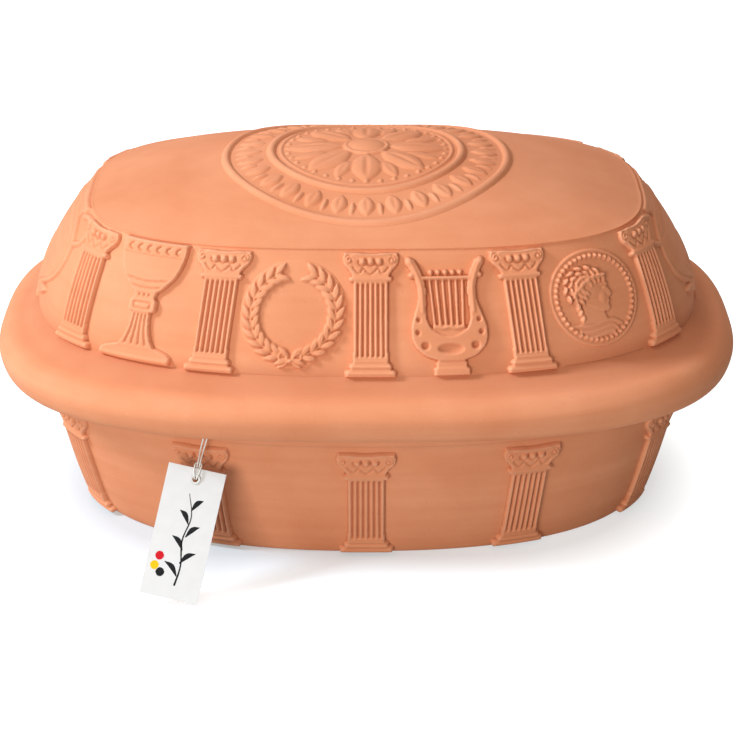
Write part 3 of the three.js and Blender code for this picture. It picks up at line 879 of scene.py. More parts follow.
    def vase(self) -> Relief:
        """A broad two-handled vase with a tongue band and leaves on its belly.

        Returns:
            The pressed sheet.
        """
        die = Die(-57, -0.8, 114, self.TALL + 1.6, 0.55)
        die.even_plate([(16, 0.2), (15.6, 3.4), (14, 4.4)], 2.3)
        die.bar(14.6, 1.9, 1.8, 2.7)
        side = [(9, 4.2), (9.4, 7), (26, 12.5), (47, 23), (52, 34), (47, 46), (36, 53)]
        die.even_plate([*curve(side, 5), (27, 56), (28, 58.6), (33, 60), (33, 63.8)], 2.3)
        rim = [(x * 0.93, mix(33, y, 0.92)) for x, y in side[2:]]
        die.even_roll(rim, 0.55, 1, 2.4, Tool.SINK)
        for height, half in ((46.6, 41), (52.6, 31)):
            die.bar(half, height, 0.45, 0.9, 2.4, Tool.SINK)
        tongues = 15
        for tongue in range(tongues):
            x = (tongue - (tongues - 1) / 2) * 4.6
            die.bead((x, 49.6), (1.5, 2.1), 0.9, 2.1)
        for leaf in range(-5, 6):
            angle = math.radians(90 - leaf * 13.5)
            reach = 15 + abs(leaf) * 1.6
            at = (math.cos(angle) * reach * 1.6, 6.5 + math.sin(angle) * reach * 0.72)
            die.leaf(at, 19 + abs(leaf), 5.6, 90 - leaf * 15, 1, 2.1)
        die.bar(27, 57, 0.5, 1, 2.4, Tool.SINK)
        die.bar(31.6, 62.2, 1.5, 2.9)
        loop = [(46, 45), (53.4, 49.4), (52, 57.6), (44, 61.2), (35.4, 59.6)]
        die.even_roll(loop, 1.9, 2.5)
        return die.press()

    def rosette(self) -> Relief:
        """A large rosette in plain moulded rings, for the roof.

        Returns:
            The pressed sheet.
        """
        outer, inner = 77.5, 52.5
        die = Die(-82, -82, 164, 164, 0.7)
        middle = (0.0, 0.0)
        die.ring(middle, outer, 2.4, 1.8)
        die.ring(middle, inner, 2.4, 1.9)
        die.ring(middle, inner - 5.4, 0.9, 1.2)
        tongues = 28
        for tongue in range(tongues):
            angle = tongue / tongues * 360
            for turn, reach, length, width in ((0, 65, 15.6, 9), (180 / tongues, 67.4, 11, 3)):
                die.leaf(polar(middle, reach, math.radians(angle + turn)), length, width, angle + turn, 1.7)
        petals = 8
        for petal in range(petals):
            for turn, reach, length, width, height in ((0, 28, 33, 17, 1.9), (22.5, 33, 20, 8, 1.4)):
                angle = petal / petals * 360 + turn
                die.leaf(polar(middle, reach, math.radians(angle)), length, width, angle, height)
        die.bead(middle, (11, 11), 2.8)
        die.ring(middle, 11.6, 1.1, 1.7)
        beads = 36
        for bead in range(beads):
            die.bead(polar(middle, 43.6, bead / beads * TURN), (1.5, 1.5), 1.5)
        return die.press()


@dataclass
class Trough:
    """The clay trough, in millimetres."""

    length: float = 372
    width: float = 248
    rim_square: float = 2.5
    foot_square: float = 2.25
    height: float = 101
    flare: float = 28.5
    flare_power: float = 0.68
    clay: float = 8
    floor: float = 9
    heel: float = 10
    foot_ring: float = 15
    recess: float = 2
    band: float = 26
    band_proud: float = 0.6
    # Painted shade under the collar, darkest at the rim and fading down the band.
    painted_shade: float = 0.6
    upstand: float = 6
    ledge: float = 5
    ledge_drop: float = 3
    wall_heights: tuple[float, ...] = (19, 36, 56, 78)
    ribs: int = 7
    rib_pitch: float = 20
    rib_width: float = 7
    rib_height: float = 2.2
    rib_gap: float = 16
    rib_round: float = 2.6
    rib_sunk: float = 0.5
    front_columns: int = 5
    pitch: float = 83
    top_pitch: float = 92
    column_widen: float = 1.1
    frieze: Place = (0.03, 0.72)

    @property
    def rim(self) -> Level:
        """The rim's outline at its full height."""
        return Level(self.length / 2, self.width / 2, self.rim_square, self.height)

    def level(self, share: float) -> Level:
        """A ring of the outer wall.

        Args:
            share: 0 at the foot, 1 at the rim.

        Returns:
            The ring.
        """
        ring = self.rim.grown(self.flare * (share**self.flare_power - 1), self.height * share)
        return Level(ring.a, ring.b, mix(self.foot_square, self.rim_square, share), ring.z)

    def inside(self, z: float, extra: float = 0) -> Level:
        """A ring of the inner wall.

        Args:
            z: Its height.
            extra: How much further in it lies.

        Returns:
            The ring.
        """
        return self.level(z / self.height).grown(-self.clay - extra, z)

    def levels(self) -> list[Level]:
        """The rings of the whole trough, from the middle of its floor to the middle of its foot.

        Returns:
            The rings in order.
        """
        edge = self.inside(self.floor, self.heel)
        rim_out = self.rim.grown(self.band_proud)
        seat_in = rim_out.grown(-self.ledge - self.upstand)
        seat_out = rim_out.grown(-self.ledge)
        ledge_z = self.height - self.ledge_drop
        middle = Level(0, 0, edge.square, self.floor)
        rings = straight_levels(middle, edge, 14)
        cove = [edge, self.inside(self.floor + 3, 3), self.inside(self.floor + self.heel, 0)]
        rings += smooth_levels(cove, 6)[:-1]
        wall = [self.inside(z) for z in self.wall_heights]
        rings += smooth_levels([*wall, seat_in.grown(-0.3, self.height - 1.4)], 5)
        rings += [seat_in.grown(0.1, self.height - 0.5), seat_in.grown(0.7, self.height)]
        rings += straight_levels(seat_in.grown(1.2), seat_out.grown(-1.2), 3)
        rings += [seat_out.grown(-0.8), seat_out.grown(-0.2, self.height - 0.3)]
        rings += [seat_out.grown(0, self.height - 0.9), seat_out.grown(0.1, ledge_z + 0.6)]
        rings += [seat_out.grown(0.6, ledge_z), rim_out.grown(-0.9, ledge_z)]
        rings += [rim_out.grown(-0.2, ledge_z - 0.3)]
        foot_share = 1 - self.band / self.height
        # Shade painted on the band under the collar, fading downwards, and a painted dark line at its lower
        # edge.
        for step in range(9):
            share = mix(ledge_z / self.height - 0.01, foot_share + 0.012, step / 8)
            rings.append(self.level(share).grown(self.band_proud).with_painted_shade(self.painted_shade * (1 - step / 8)))
        rings += [self.level(foot_share + 0.005).grown(self.band_proud * 0.7).with_painted_shade(self.painted_shade / 2)]
        for step in range(48):
            share = foot_share * (1 - step / 47) ** 1.7
            rings.append(self.level(share))
        foot = self.level(0)
        rings += [foot.grown(-0.8, 0), foot.grown(-self.foot_ring, 0)]
        rings += [foot.grown(-self.foot_ring - self.recess, self.recess)]
        hollow = foot.grown(-self.foot_ring - self.recess - 1, self.recess)
        rings += straight_levels(hollow, Level(0, 0, foot.square, self.recess), 8)
        return [*rings, Level(0, 0, foot.square, self.recess)]

    def rim_front(self, x: float) -> Vector:
        """The rim's front edge beside a place along the roaster.

        Args:
            x: The place.

        Returns:
            The edge's point.
        """
        rim = self.rim
        across = (1 - (abs(x) / rim.a) ** rim.square) ** (1 / rim.square)
        return Vector((x, -rim.b * across, rim.z))

    def rib(self, index: int) -> bmesh.types.BMesh:
        """A rounded rib on the floor.

        Args:
            index: Which rib, from the front.

        Returns:
            The rib, in millimetres.
        """
        y = (index - (self.ribs - 1) / 2) * self.rib_pitch
        edge = self.inside(self.floor, self.heel)
        reach = edge.a * (1 - (abs(y) / edge.b) ** edge.square) ** (1 / edge.square) - self.rib_gap
        bm = bmesh.new()
        place = Matrix.Translation((0, y, self.floor - self.rib_sunk))
        tall = 2 * (self.rib_height + self.rib_sunk)
        place = place @ Matrix.Diagonal((2 * reach, self.rib_width, tall, 1))
        bmesh.ops.create_cube(bm, size=1, matrix=place)
        rounding = {"offset": self.rib_round, "segments": 6, "profile": 0.5, "clamp_overlap": True}
        bmesh.ops.bevel(bm, geom=bm.edges, affect="EDGES", **rounding)
        return bm

    def build(self, clay: bpy.types.Material, column: Relief) -> None:
        """Makes the trough, its ribs and its columns.

        Args:
            clay: The clay's material.
            column: The pressed column.
        """
        node = "roaster_base"
        make_piece(loft(self.levels()), "trough_body", clay, Body.TROUGH, node)
        for index in range(self.ribs):
            make_piece(self.rib(index), f"floor_rib_{index + 1}", clay, Body.TROUGH, node)
        wall = Wall(self.level, *self.frieze, Ornaments.TALL)
        for side, turn in LONG_SIDES:
            for index in range(self.front_columns):
                steps = index - (self.front_columns - 1) / 2
                line = wall.line(steps, self.pitch, self.top_pitch, 0, turn)
                slip = wall.lay(column, line, self.column_widen)
                name = f"trough_column_{side}_{index + 1}"
                make_piece(slip, name, clay, Body.TROUGH, node, ALL_SOFT)


@dataclass
class Lid:
    """The clay lid, in millimetres."""

    trough: Trough
    seat_gap: float = 0.3
    inset: float = 2.6
    square: float = 2.45
    foot_rise: float = 15.5
    wall_rise: float = 61
    roof_rise: float = 23.4
    roof_square: float = 3
    roof_power: float = 2.05
    end_lean: float = 33
    side_lean: float = 27.5
    end_bulge: float = 1.7
    side_bulge: float = 1.2
    lip: float = 0.4
    # Painted shade in the cove at the wall's foot and under the collar's nose.
    painted_shade: float = 0.5
    # How far up the wall the painted shade reaches, as a share of its height.
    cove: float = 0.18
    collar: float = 19
    collar_square: float = 2.79
    below_seat: float = 1.5
    skirt_drop: float = 14.6
    nose: float = 8
    play: float = 2.6
    draft: float = 3.8
    frieze: Place = (0.015, 0.985)
    shift: float = 2.4
    pitch: float = 85.3
    top_pitch: float = 75
    front_columns: int = 5
    vase_swell: float = 0.75
    roof_bury: float = 0.14
    roof_depth: float = 1.8
    roof_back: int = 17

    @property
    def foot_z(self) -> float:
        """Height of the wall's foot."""
        return self.trough.height + self.foot_rise

    @property
    def top_z(self) -> float:
        """Height of the roof's middle."""
        return self.foot_z + self.wall_rise + self.roof_rise

    def level(self, share: float) -> Level:
        """A ring of the outer wall.

        Args:
            share: 0 at its foot, 1 at the roof's edge.

        Returns:
            The ring.
        """
        rim = self.trough.rim
        a = rim.a - self.inset - self.end_lean * share**self.end_bulge
        b = rim.b - self.inset - self.side_lean * share**self.side_bulge
        return Level(a, b, mix(self.square, self.roof_square, share), self.foot_z + self.wall_rise * share)

    def roll(self, inset: float, z: float) -> Level:
        """A ring of the collar.

        Args:
            inset: How far in from the collar's widest line.
            z: Its height.

        Returns:
            The ring.
        """
        ring = self.trough.rim.grown(self.collar - inset, z)
        return Level(ring.a, ring.b, self.collar_square, ring.z)

    def dome(self, edge: Level, share: float, top: float) -> Level:
        """A ring of a dome over an edge.

        Args:
            edge: The dome's edge.
            share: 0 at the middle, 1 at the edge.
            top: Height of the dome's middle.

        Returns:
            The ring.
        """
        z = edge.z + (top - edge.z) * (1 - share**self.roof_power)
        return Level(edge.a * share, edge.b * share, edge.square, z)

    def levels(self) -> list[Level]:
        """The rings of the whole lid, from the middle of its roof outside to the middle inside.

        Returns:
            The rings in order.
        """
        edge = self.level(1)
        lip = edge.grown(self.lip, edge.z + self.lip)
        rings = [self.dome(lip, share, self.top_z) for share in np.linspace(0, 0.985, 30)]
        rings += smooth_levels(
            [
                self.dome(lip, 0.99, self.top_z),
                edge.grown(self.lip + 0.1, edge.z + 0.5),
                edge.grown(self.lip - 0.1, edge.z - 0.4),
                self.level(0.985).grown(-0.1),
                self.level(0.965),
            ],
            4,
        )
        # Shade painted on the wall, darkest at its foot.
        for share in np.linspace(0.94, 0.03, 28):
            rings.append(self.level(share).with_painted_shade(self.painted_shade * max(0.0, 1 - share / self.cove)))
        roll_z = self.trough.height - self.below_seat
        nose_z = self.trough.height - self.skirt_drop
        top = self.foot_z - roll_z
        seat_z = self.trough.height + self.seat_gap
        skirt_top = self.collar - self.trough.band_proud - self.play
        skirt_foot = skirt_top - self.draft
        # Shade painted in the cove between wall and collar and under the collar's nose and skirt.
        rings += smooth_levels(
            [
                self.level(0.015).with_painted_shade(self.painted_shade),
                self.level(0.002).grown(0.5).with_painted_shade(self.painted_shade),
                self.roll(self.collar * 0.78, roll_z + top * 0.72).with_painted_shade(self.painted_shade * 0.7),
                self.roll(self.collar * 0.34, roll_z + top * 0.56),
                self.roll(self.collar * 0.09, roll_z + top * 0.3),
                self.roll(0, roll_z),
                self.roll(self.nose * 0.2, mix(roll_z, nose_z, 0.55)),
                self.roll(self.nose * 0.55, mix(roll_z, nose_z, 0.87)),
                self.roll(self.nose, nose_z).with_painted_shade(self.painted_shade),
                self.roll(skirt_foot - 0.9, nose_z + 0.7).with_painted_shade(self.painted_shade),
                self.roll(skirt_foot, mix(nose_z, roll_z, 0.2)),
                self.roll(skirt_top - 0.6, seat_z - 1.6),
            ],
            5,
        )
        rings += [self.roll(skirt_top - 0.2, seat_z - 0.4), self.roll(skirt_top + 0.6, seat_z)]
        wall_in = self.level(0).grown(-self.trough.clay)
        rings += [wall_in.grown(1, seat_z), wall_in.grown(0.2, seat_z + 0.5)]
        inner = [self.level(share).grown(-self.trough.clay) for share in (0, 0.3, 0.55, 0.78)]
        under = edge.grown(-self.trough.clay - 1.2, edge.z - self.trough.clay * 0.4)
        within = self.top_z - self.trough.clay
        inner += [under, self.dome(under, 0.85, within), self.dome(under, 0.6, within)]
        rings += smooth_levels(inner, 5)
        rings += [self.dome(under, share, within) for share in (0.45, 0.3, 0.15, 0)]
        return rings

    def roof_height(self, xs: np.ndarray, ys: np.ndarray) -> np.ndarray:
        """The roof's height over places in plan.

        Args:
            xs: Places along the roaster.
            ys: Places across it.

        Returns:
            The heights.
        """
        edge = self.level(1)
        lip = edge.grown(self.lip, edge.z + self.lip)
        share = (np.abs(xs) / lip.a) ** lip.square + (np.abs(ys) / lip.b) ** lip.square
        share = share ** (1 / lip.square)
        return lip.z + (self.top_z - lip.z) * (1 - share**self.roof_power)

    def lay_on_roof(self, relief: Relief) -> bmesh.types.BMesh:
        """Lays a relief on the roof, as a closed slip of clay that is sunk into it.

        Args:
            relief: The pressed sheet.

        Returns:
            The slip, in millimetres.
        """
        xs, ys = np.meshgrid(relief.columns(), relief.rows())
        front = np.stack([xs, ys, self.roof_height(xs, ys) + relief.heights - self.roof_bury], axis=-1)
        xs, ys = np.meshgrid(*(np.linspace(side.min(), side.max(), self.roof_back) for side in (xs, ys)))
        back = np.stack([xs, ys, self.roof_height(xs, ys) - self.roof_depth], axis=-1)
        # The face carries painted shade in its hollows and painted highlight on its ridges.
        return close_slip(front, relief.painted_shade_and_highlight, back)

    def build(self, clay: bpy.types.Material, ornaments: Ornaments, column: Relief) -> None:
        """Makes the lid, its frieze and its rosette.

        Args:
            clay: The clay's material.
            ornaments: The dies of the frieze.
            column: The pressed column.
        """
        node = "roaster_lid"
        make_piece(loft(self.levels()), "lid_body", clay, Body.LID, node)
        wall = Wall(self.level, *self.frieze, Ornaments.TALL)
        motifs = {
            "goblet": ornaments.goblet(),
            "wreath": ornaments.wreath(),
            "lyre": ornaments.lyre(),
            "coin": ornaments.coin(),
        }
        vase = ornaments.vase()
        low_wall = Wall(self.level, *self.frieze, Ornaments.TALL, swell=self.vase_swell)
        for side, turn in LONG_SIDES:
            for index in range(self.front_columns):
                steps = index - (self.front_columns - 1) / 2
                slip = wall.lay(column, wall.line(steps, self.pitch, self.top_pitch, self.shift, turn))
                name = f"lid_column_{side}_{index + 1}"
                make_piece(slip, name, clay, Body.LID, node, ALL_SOFT)
            for index, (name, relief) in enumerate(motifs.items()):
                line = wall.line(index - 1.5, self.pitch, self.top_pitch, self.shift, turn)
                slip = wall.lay(relief, line)
                make_piece(slip, f"{name}_{side}", clay, Body.LID, node, ALL_SOFT)
            end = "right" if side == "front" else "left"
            slip = low_wall.lay(vase, upright(turn))
            make_piece(slip, f"vase_{end}", clay, Body.LID, node, ALL_SOFT)
        slip = self.lay_on_roof(ornaments.rosette())
        make_piece(slip, "roof_rosette", clay, Body.LID, node, ALL_SOFT)


@dataclass
class HangTag:
    """The card tag with its eyelet and print, in millimetres, drawn flat about the eyelet's middle."""

    eye: tuple[float, float, float]
    thick: float = 0.5
    lean: float = math.radians(28)
    slant: float = math.radians(12.6)
    bore: float = 1.5
    barrel: float = 1.85
    flange: float = 2.7
    sheet: float = 0.3
    gap: float = 0.3
    ink: float = 0.03

    @property
    def place(self) -> Matrix:
        """Where the flat drawing goes."""
        turned = Matrix.Rotation(math.pi / 2 - self.lean, 4, "X") @ Matrix.Rotation(-self.slant, 4, "Z")
        return Matrix.Translation(self.eye) @ turned

    def point(self, x: float, y: float, z: float) -> Vector:
        """A place given in the tag's drawing."""
        return self.place @ Vector((x, y, z))

    def eyelet(self) -> bmesh.types.BMesh:
        """The rolled eyelet through the card.

        Returns:
            The eyelet, in millimetres.
        """
        inside = self.thick / 2 + self.gap
        outside = inside + self.sheet
        bend = self.sheet * 0.5
        right = [
            (self.bore, 0),
            (self.bore, outside - bend),
            (self.bore + bend, outside),
            (self.flange - bend, outside),
            (self.flange, inside + bend),
            (self.flange - bend, inside),
            (self.barrel, inside),
            (self.barrel, 0),
        ]
        profile = [*right, *[(radius, -height) for radius, height in reversed(right[1:-1])]]
        bm = bmesh.new()
        corners = [bm.verts.new((radius, 0, height)) for radius, height in profile]
        edges = [bm.edges.new((corners[i - 1], corners[i])) for i in range(len(corners))]
        turning = {"cent": (0, 0, 0), "axis": (0, 0, 1), "angle": TURN, "steps": 56, "use_merge": True}
        bmesh.ops.spin(bm, geom=[*corners, *edges], **turning)
        bmesh.ops.remove_doubles(bm, verts=bm.verts, dist=0.001)
        bmesh.ops.recalc_face_normals(bm, faces=bm.faces)
        return bm

    def stroke(self, path: Sequence[Place], widths: Sequence[float]) -> bmesh.types.BMesh:
        """A brush stroke of ink on the card.

        Args:
            path: The places that it passes through.
            widths: Its full width at each of them.

        Returns:
            The stroke, in millimetres.
        """
        line = spline(np.array([(x, y, wide) for (x, y), wide in zip(path, widths)], float), 8)
        along = np.gradient(line[:, :2], axis=0)
        along /= np.linalg.norm(along, axis=1, keepdims=True)
        across = np.stack([-along[:, 1], along[:, 0]], axis=-1)
        flat = np.linspace(-0.5, 0.5, 5)
        places = np.zeros((len(line), len(flat), 3))
        places[..., :2] = line[:, None, :2] + across[:, None] * (flat[None, :, None] * line[:, None, 2:])
        places[..., 2] = self.thick / 2 + self.ink
        bm = bmesh.new()
        press_grid(bm, places)
        made = bmesh.ops.extrude_face_region(bm, geom=bm.faces[:])["geom"]
        lowered = [part for part in made if isinstance(part, bmesh.types.BMVert)]
        bmesh.ops.translate(bm, vec=Vector((0, 0, -self.ink * 1.6)), verts=lowered)
        bmesh.ops.recalc_face_normals(bm, faces=bm.faces)
        return bm

    def sprig(self) -> bmesh.types.BMesh:
        """A leafy sprig in brush strokes, along the card.

        Returns:
            The strokes, in millimetres.
        """
        stem = [(1.5, -57), (2.5, -46), (0.4, -33), (2.4, -20), (-1.2, -8)]
        strokes = [self.stroke(stem, (1.1, 0.8, 0.8, 0.6, 0.35))]
        for leaf in range(6):
            y = -52 + leaf * 7
            side = 1 if leaf % 2 else -1
            reach = 7.8 - leaf * 0.5
            path = [(1.6, y), (1.6 + side * reach * 0.45, y + 4.6), (1.6 + side * reach, y + 6.6)]
            strokes.append(self.stroke(path, (0.5, 2.7, 0.3)))
        whole = bmesh.new()
        for part in strokes:
            mesh = bpy.data.meshes.new("stroke")
            part.to_mesh(mesh)
            part.free()
            whole.from_mesh(mesh)
            bpy.data.meshes.remove(mesh)
        return whole

    def build(self, finishes: "Finishes") -> list[bpy.types.Object]:
        """Makes the card, its eyelet and its print.

        Args:
            finishes: The materials.

        Returns:
            The pieces.
        """
        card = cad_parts["hang_tag"]
        card.data.materials.clear()
        card.data.materials.append(finishes.card)
        pieces = [
            card,
            self._set(self.eyelet(), "tag_eyelet_ring", finishes.metal, Slot.EYELET, "tag_eyelet"),
            self._set(self.sprig(), "tag_print_sprig", finishes.black_ink, Slot.CARD),
        ]
        berries = (
            ("red", finishes.red_ink, (-9.4, -43)),
            ("yellow", finishes.yellow_ink, (-11, -48.4)),
            ("dark", finishes.black_ink, (-7.4, -51.4)),
        )
        for name, finish, (x, y) in berries:
            path = [(x + step, y) for step in (-2.3, -1.2, 0, 1.2, 2.3)]
            blot = self.stroke(path, (1.2, 4, 4.7, 4, 1.2))
            pieces.append(self._set(blot, f"tag_print_berry_{name}", finish, Slot.CARD))
        return pieces

    def _set(
        self,
        bm: bmesh.types.BMesh,
        name: str,
        finish: bpy.types.Material,
        slot: Slot,
        node: str | None = None,
    ) -> bpy.types.Object:
        """Puts a flat-drawn piece in its place.

        Args:
            bm: The piece, drawn flat.
            name: Its name.
            finish: Its material.
            slot: The record's material slot, not used.
            node: The CAD node that it is shown instead of, if any.

        Returns:
            The new object.
        """
        bmesh.ops.transform(bm, matrix=self.place, verts=bm.verts)
        return make_piece(bm, name, finish, Body.TAG, node)


@dataclass
class TagString:
    """The doubled string from the rim's ledge to the eyelet, in millimetres."""

    tag: HangTag
    start: Vector
    diameter: float = 0.8
    knot: tuple[float, float, float] = (4.2, 2.6, 1.7)
    ledge_route: tuple = (
        (-0.9, -1.5, -1.9),
        (-0.95, 0.1, -1.9),
        (-1, 1.6, -2.6),
        (-1.05, 2.3, -4.2),
        (-1.05, 2.6, -7),
        (-1, 3.2, -13),
    )
    hang_route: tuple = (
        (-0.85, 16.5, -0.35),
        (-0.65, 11.5, 0.35),
        (-0.6, 9, 0.45),
        (-0.6, 7.4, -0.1),
        (-0.6, 5.9, -1.05),
        (-0.6, 4.2, -1.5),
        (-0.6, 2.4, -1.65),
        (-0.58, 0.9, -1.35),
        (-0.56, 0.05, 0),
        (-0.62, 0.75, 1.3),
        (-1, 2.2, 1.7),
        (-1.5, 4.2, 1.55),
        (-1.72, 6, 1.35),
        (-1.72, 7.5, 0.9),
        (-1.4, 8.5, -0.1),
        (-0.7, 8.85, -0.85),
    )
    loop_middle: tuple[float, float, float] = (0, 8.95, -1.05)

    def half(self, side: int) -> list[Vector]:
        """One half of the route.

        Args:
            side: 1 or -1.

        Returns:
            The places from the knot to the loop.
        """
        ledge = [self.start + Vector((-side * x, -out, up)) for x, out, up in self.ledge_route]
        return ledge + [self.tag.point(-side * x, y, z) for x, y, z in self.hang_route]

    def route(self) -> np.ndarray:
        """The whole route as a close row of places.

        Returns:
            The places, in millimetres.
        """
        knots = [*self.half(-1), self.tag.point(*self.loop_middle), *reversed(self.half(1))]
        return centripetal(np.array([tuple(knot) for knot in knots]), 8)

    def build(self, twine: bpy.types.Material, on_it: list[bpy.types.Object]) -> None:
        """Makes the string and its knot.

        Args:
            twine: The string's material.
            on_it: The pieces that hang on it, not used.
        """
        line = self.route() * MM
        shape = bpy.data.curves.new("tag_string_line", "CURVE")
        shape.dimensions = "3D"
        shape.bevel_depth = self.diameter / 2 * MM
        shape.bevel_resolution = 4
        shape.use_fill_caps = True
        strand = shape.splines.new("POLY")
        strand.points.add(len(line) - 1)
        for point, place in zip(strand.points, line):
            point.co = (*place, 1)
        shape.materials.append(twine)
        string = bpy.data.objects.new("tag_string_line", shape)
        bpy.context.scene.collection.objects.link(string)
        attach(string, Body.TROUGH.value)
        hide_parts("tag_string")
        _, out, up = self.ledge_route[0]
        middle = self.start + Vector((0, self.knot[0] * 0.2 - out, up - 0.1))
        bm = bmesh.new()
        place = Matrix.Translation(middle) @ Matrix.Diagonal((*self.knot, 1))
        bmesh.ops.create_uvsphere(bm, u_segments=24, v_segments=14, radius=0.5, matrix=place)
        knot = make_piece(bm, "tag_string_knot", twine, Body.TROUGH, "tag_string")


def centripetal(knots: np.ndarray, steps: int) -> np.ndarray:
    """A smooth row of places through unevenly spaced knots, without loops or overshoot.

    Args:
        knots: The places to pass through.
        steps: How many steps each span gets.

    Returns:
        The places, ends included.
    """
    padded = with_ends(knots)
    rows = []
    for i in range(1, len(padded) - 2):
        p = padded[i - 1 : i + 3]
        t = np.concatenate([[0], np.cumsum(np.sqrt(np.linalg.norm(np.diff(p, axis=0), axis=1)))])
        for now in np.linspace(t[1], t[2], steps, endpoint=False):
            first = [mix(p[k], p[k + 1], (now - t[k]) / (t[k + 1] - t[k])) for k in range(3)]
            second = [mix(first[k], first[k + 1], (now - t[k]) / (t[k + 2] - t[k])) for k in range(2)]
            rows.append(mix(second[0], second[1], (now - t[1]) / (t[2] - t[1])))
    rows.append(knots[-1])
    return np.array(rows)


class Nodes:
    """A shader tree that is filled node by node."""

    def __init__(self, tree: bpy.types.NodeTree) -> None:
        """Takes the tree to fill.

        Args:
            tree: A material's or a group's tree.
        """
        self.tree = tree

    def add(self, kind: str, settings: dict | None = None, **inputs: object) -> bpy.types.Node:
        """Adds a node.

        Args:
            kind: Its type.
            settings: Its own settings by name.
            **inputs: Values or sockets for its inputs, with spaces as underscores.

        Returns:
            The new node.
        """
        node = self.tree.nodes.new(kind)
        for name, value in (settings or {}).items():
            setattr(node, name, value)
        self.fill(node, **inputs)
        return node

    def fill(self, node: bpy.types.Node, **inputs: object) -> None:
        """Sets a node's inputs by name.

        Args:
            node: The node.
            **inputs: Values or sockets for its inputs, with spaces as underscores.
        """
        for name, value in inputs.items():
            self._set(node.inputs[name.replace("_", " ")], value)

    def _set(self, socket: bpy.types.NodeSocket, value: object) -> None:
        """Links another socket to an input, or sets a value on it."""
        if isinstance(value, bpy.types.NodeSocket):
            self.tree.links.new(value, socket)
        else:
            socket.default_value = value

    def math(
        self, what: str, first: object, second: object = 0.0, third: object = 0.0
    ) -> bpy.types.NodeSocket:
        """Adds a sum on numbers.

        Args:
            what: The operation.
            first: Its first value or socket.
            second: Its second.
            third: Its third.

        Returns:
            The result's socket.
        """
        node = self.tree.nodes.new("ShaderNodeMath")
        node.operation = what
        for socket, value in zip(node.inputs, (first, second, third)):
            self._set(socket, value)
        return node.outputs[0]

    def blend(self, share: object, low: object, high: object) -> bpy.types.NodeSocket:
        """Adds a mix of two colours.

        Args:
            share: How much of the second, as a value or a socket.
            low: The first colour or socket.
            high: The second colour or socket.

        Returns:
            The result's socket.
        """
        node = self.tree.nodes.new("ShaderNodeMix")
        node.data_type = "RGBA"
        for socket, value in zip((node.inputs[0], node.inputs[6], node.inputs[7]), (share, low, high)):
            self._set(socket, value)
        return node.outputs[2]

    def span(self, value: object, low: float, high: float) -> bpy.types.NodeSocket:
        """Spreads a range of values over 0 to 1.

        Args:
            value: The value's socket.
            low: What becomes 0.
            high: What becomes 1.

        Returns:
            The result's socket.
        """
        made = self.add("ShaderNodeMapRange", None, Value=value, From_Min=low, From_Max=high)
        return made.outputs["Result"]

    def where(self) -> bpy.types.NodeSocket:
        """Places on the piece itself."""
        return self.add("ShaderNodeTexCoord").outputs["Object"]

    def grained(
        self, grain: bpy.types.NodeTree, where: bpy.types.NodeSocket, scales: tuple[float, float, float]
    ) -> bpy.types.bpy_prop_collection:
        """Adds the shared grain.

        Args:
            grain: The node group.
            where: The places to take it at.
            scales: How fine its mottling, its grain and its specks are.

        Returns:
            The group's outputs.
        """
        names = ("Mottle_Scale", "Grain_Scale", "Speck_Scale")
        inputs = dict(zip(names, scales))
        return self.add("ShaderNodeGroup", {"node_tree": grain}, Vector=where, **inputs).outputs

    def seen(self) -> bpy.types.NodeSocket:
        """1 on rays from the camera and on those that it sees mirrored or through glass, else 0."""
        paths = self.add("ShaderNodeLightPath").outputs
        first = self.math("MAXIMUM", paths["Is Camera Ray"], paths["Is Glossy Ray"])
        return self.math("MAXIMUM", first, paths["Is Transmission Ray"])


def grain_group() -> bpy.types.NodeTree:
    """The grain that clay, card and string share: soft mottling, fine grain and sparse specks.

    Returns:
        The node group.
    """
    group = bpy.data.node_groups.new("fine_grain", "ShaderNodeTree")
    for name, kind in (
        ("Vector", "NodeSocketVector"),
        ("Mottle Scale", "NodeSocketFloat"),
        ("Grain Scale", "NodeSocketFloat"),
        ("Speck Scale", "NodeSocketFloat"),
    ):
        group.interface.new_socket(name, in_out="INPUT", socket_type=kind)
    for name in ("Mottle", "Grain", "Specks", "Pits"):
        group.interface.new_socket(name, in_out="OUTPUT", socket_type="NodeSocketFloat")
    nodes = Nodes(group)
    given = nodes.add("NodeGroupInput").outputs
    shown = nodes.add("NodeGroupOutput")
    where, noise = given["Vector"], "ShaderNodeTexNoise"
    mottle = nodes.add(noise, None, Vector=where, Scale=given["Mottle Scale"], Detail=5.0, Roughness=0.55)
    grain = nodes.add(noise, None, Vector=where, Scale=given["Grain Scale"], Detail=4.0, Roughness=0.7)
    specks = nodes.add("ShaderNodeTexVoronoi", None, Vector=where, Scale=given["Speck Scale"])
    sparse = nodes.add(noise, None, Vector=where, Scale=given["Speck Scale"], Detail=1.0)
    near = nodes.math("SUBTRACT", 1.0, nodes.span(specks.outputs["Distance"], 0.06, 0.2))
    chosen = nodes.span(sparse.outputs["Fac"], 0.56, 0.66)
    pitted = nodes.math("SUBTRACT", 1.0, nodes.span(sparse.outputs["Fac"], 0.3, 0.38))
    soft = nodes.span(mottle.outputs["Fac"], 0.3, 0.7)
    nodes.fill(shown, Mottle=soft, Grain=grain.outputs["Fac"])
    nodes.fill(shown, Specks=nodes.math("MULTIPLY", near, chosen))
    nodes.fill(shown, Pits=nodes.math("MULTIPLY", near, pitted))
    return group


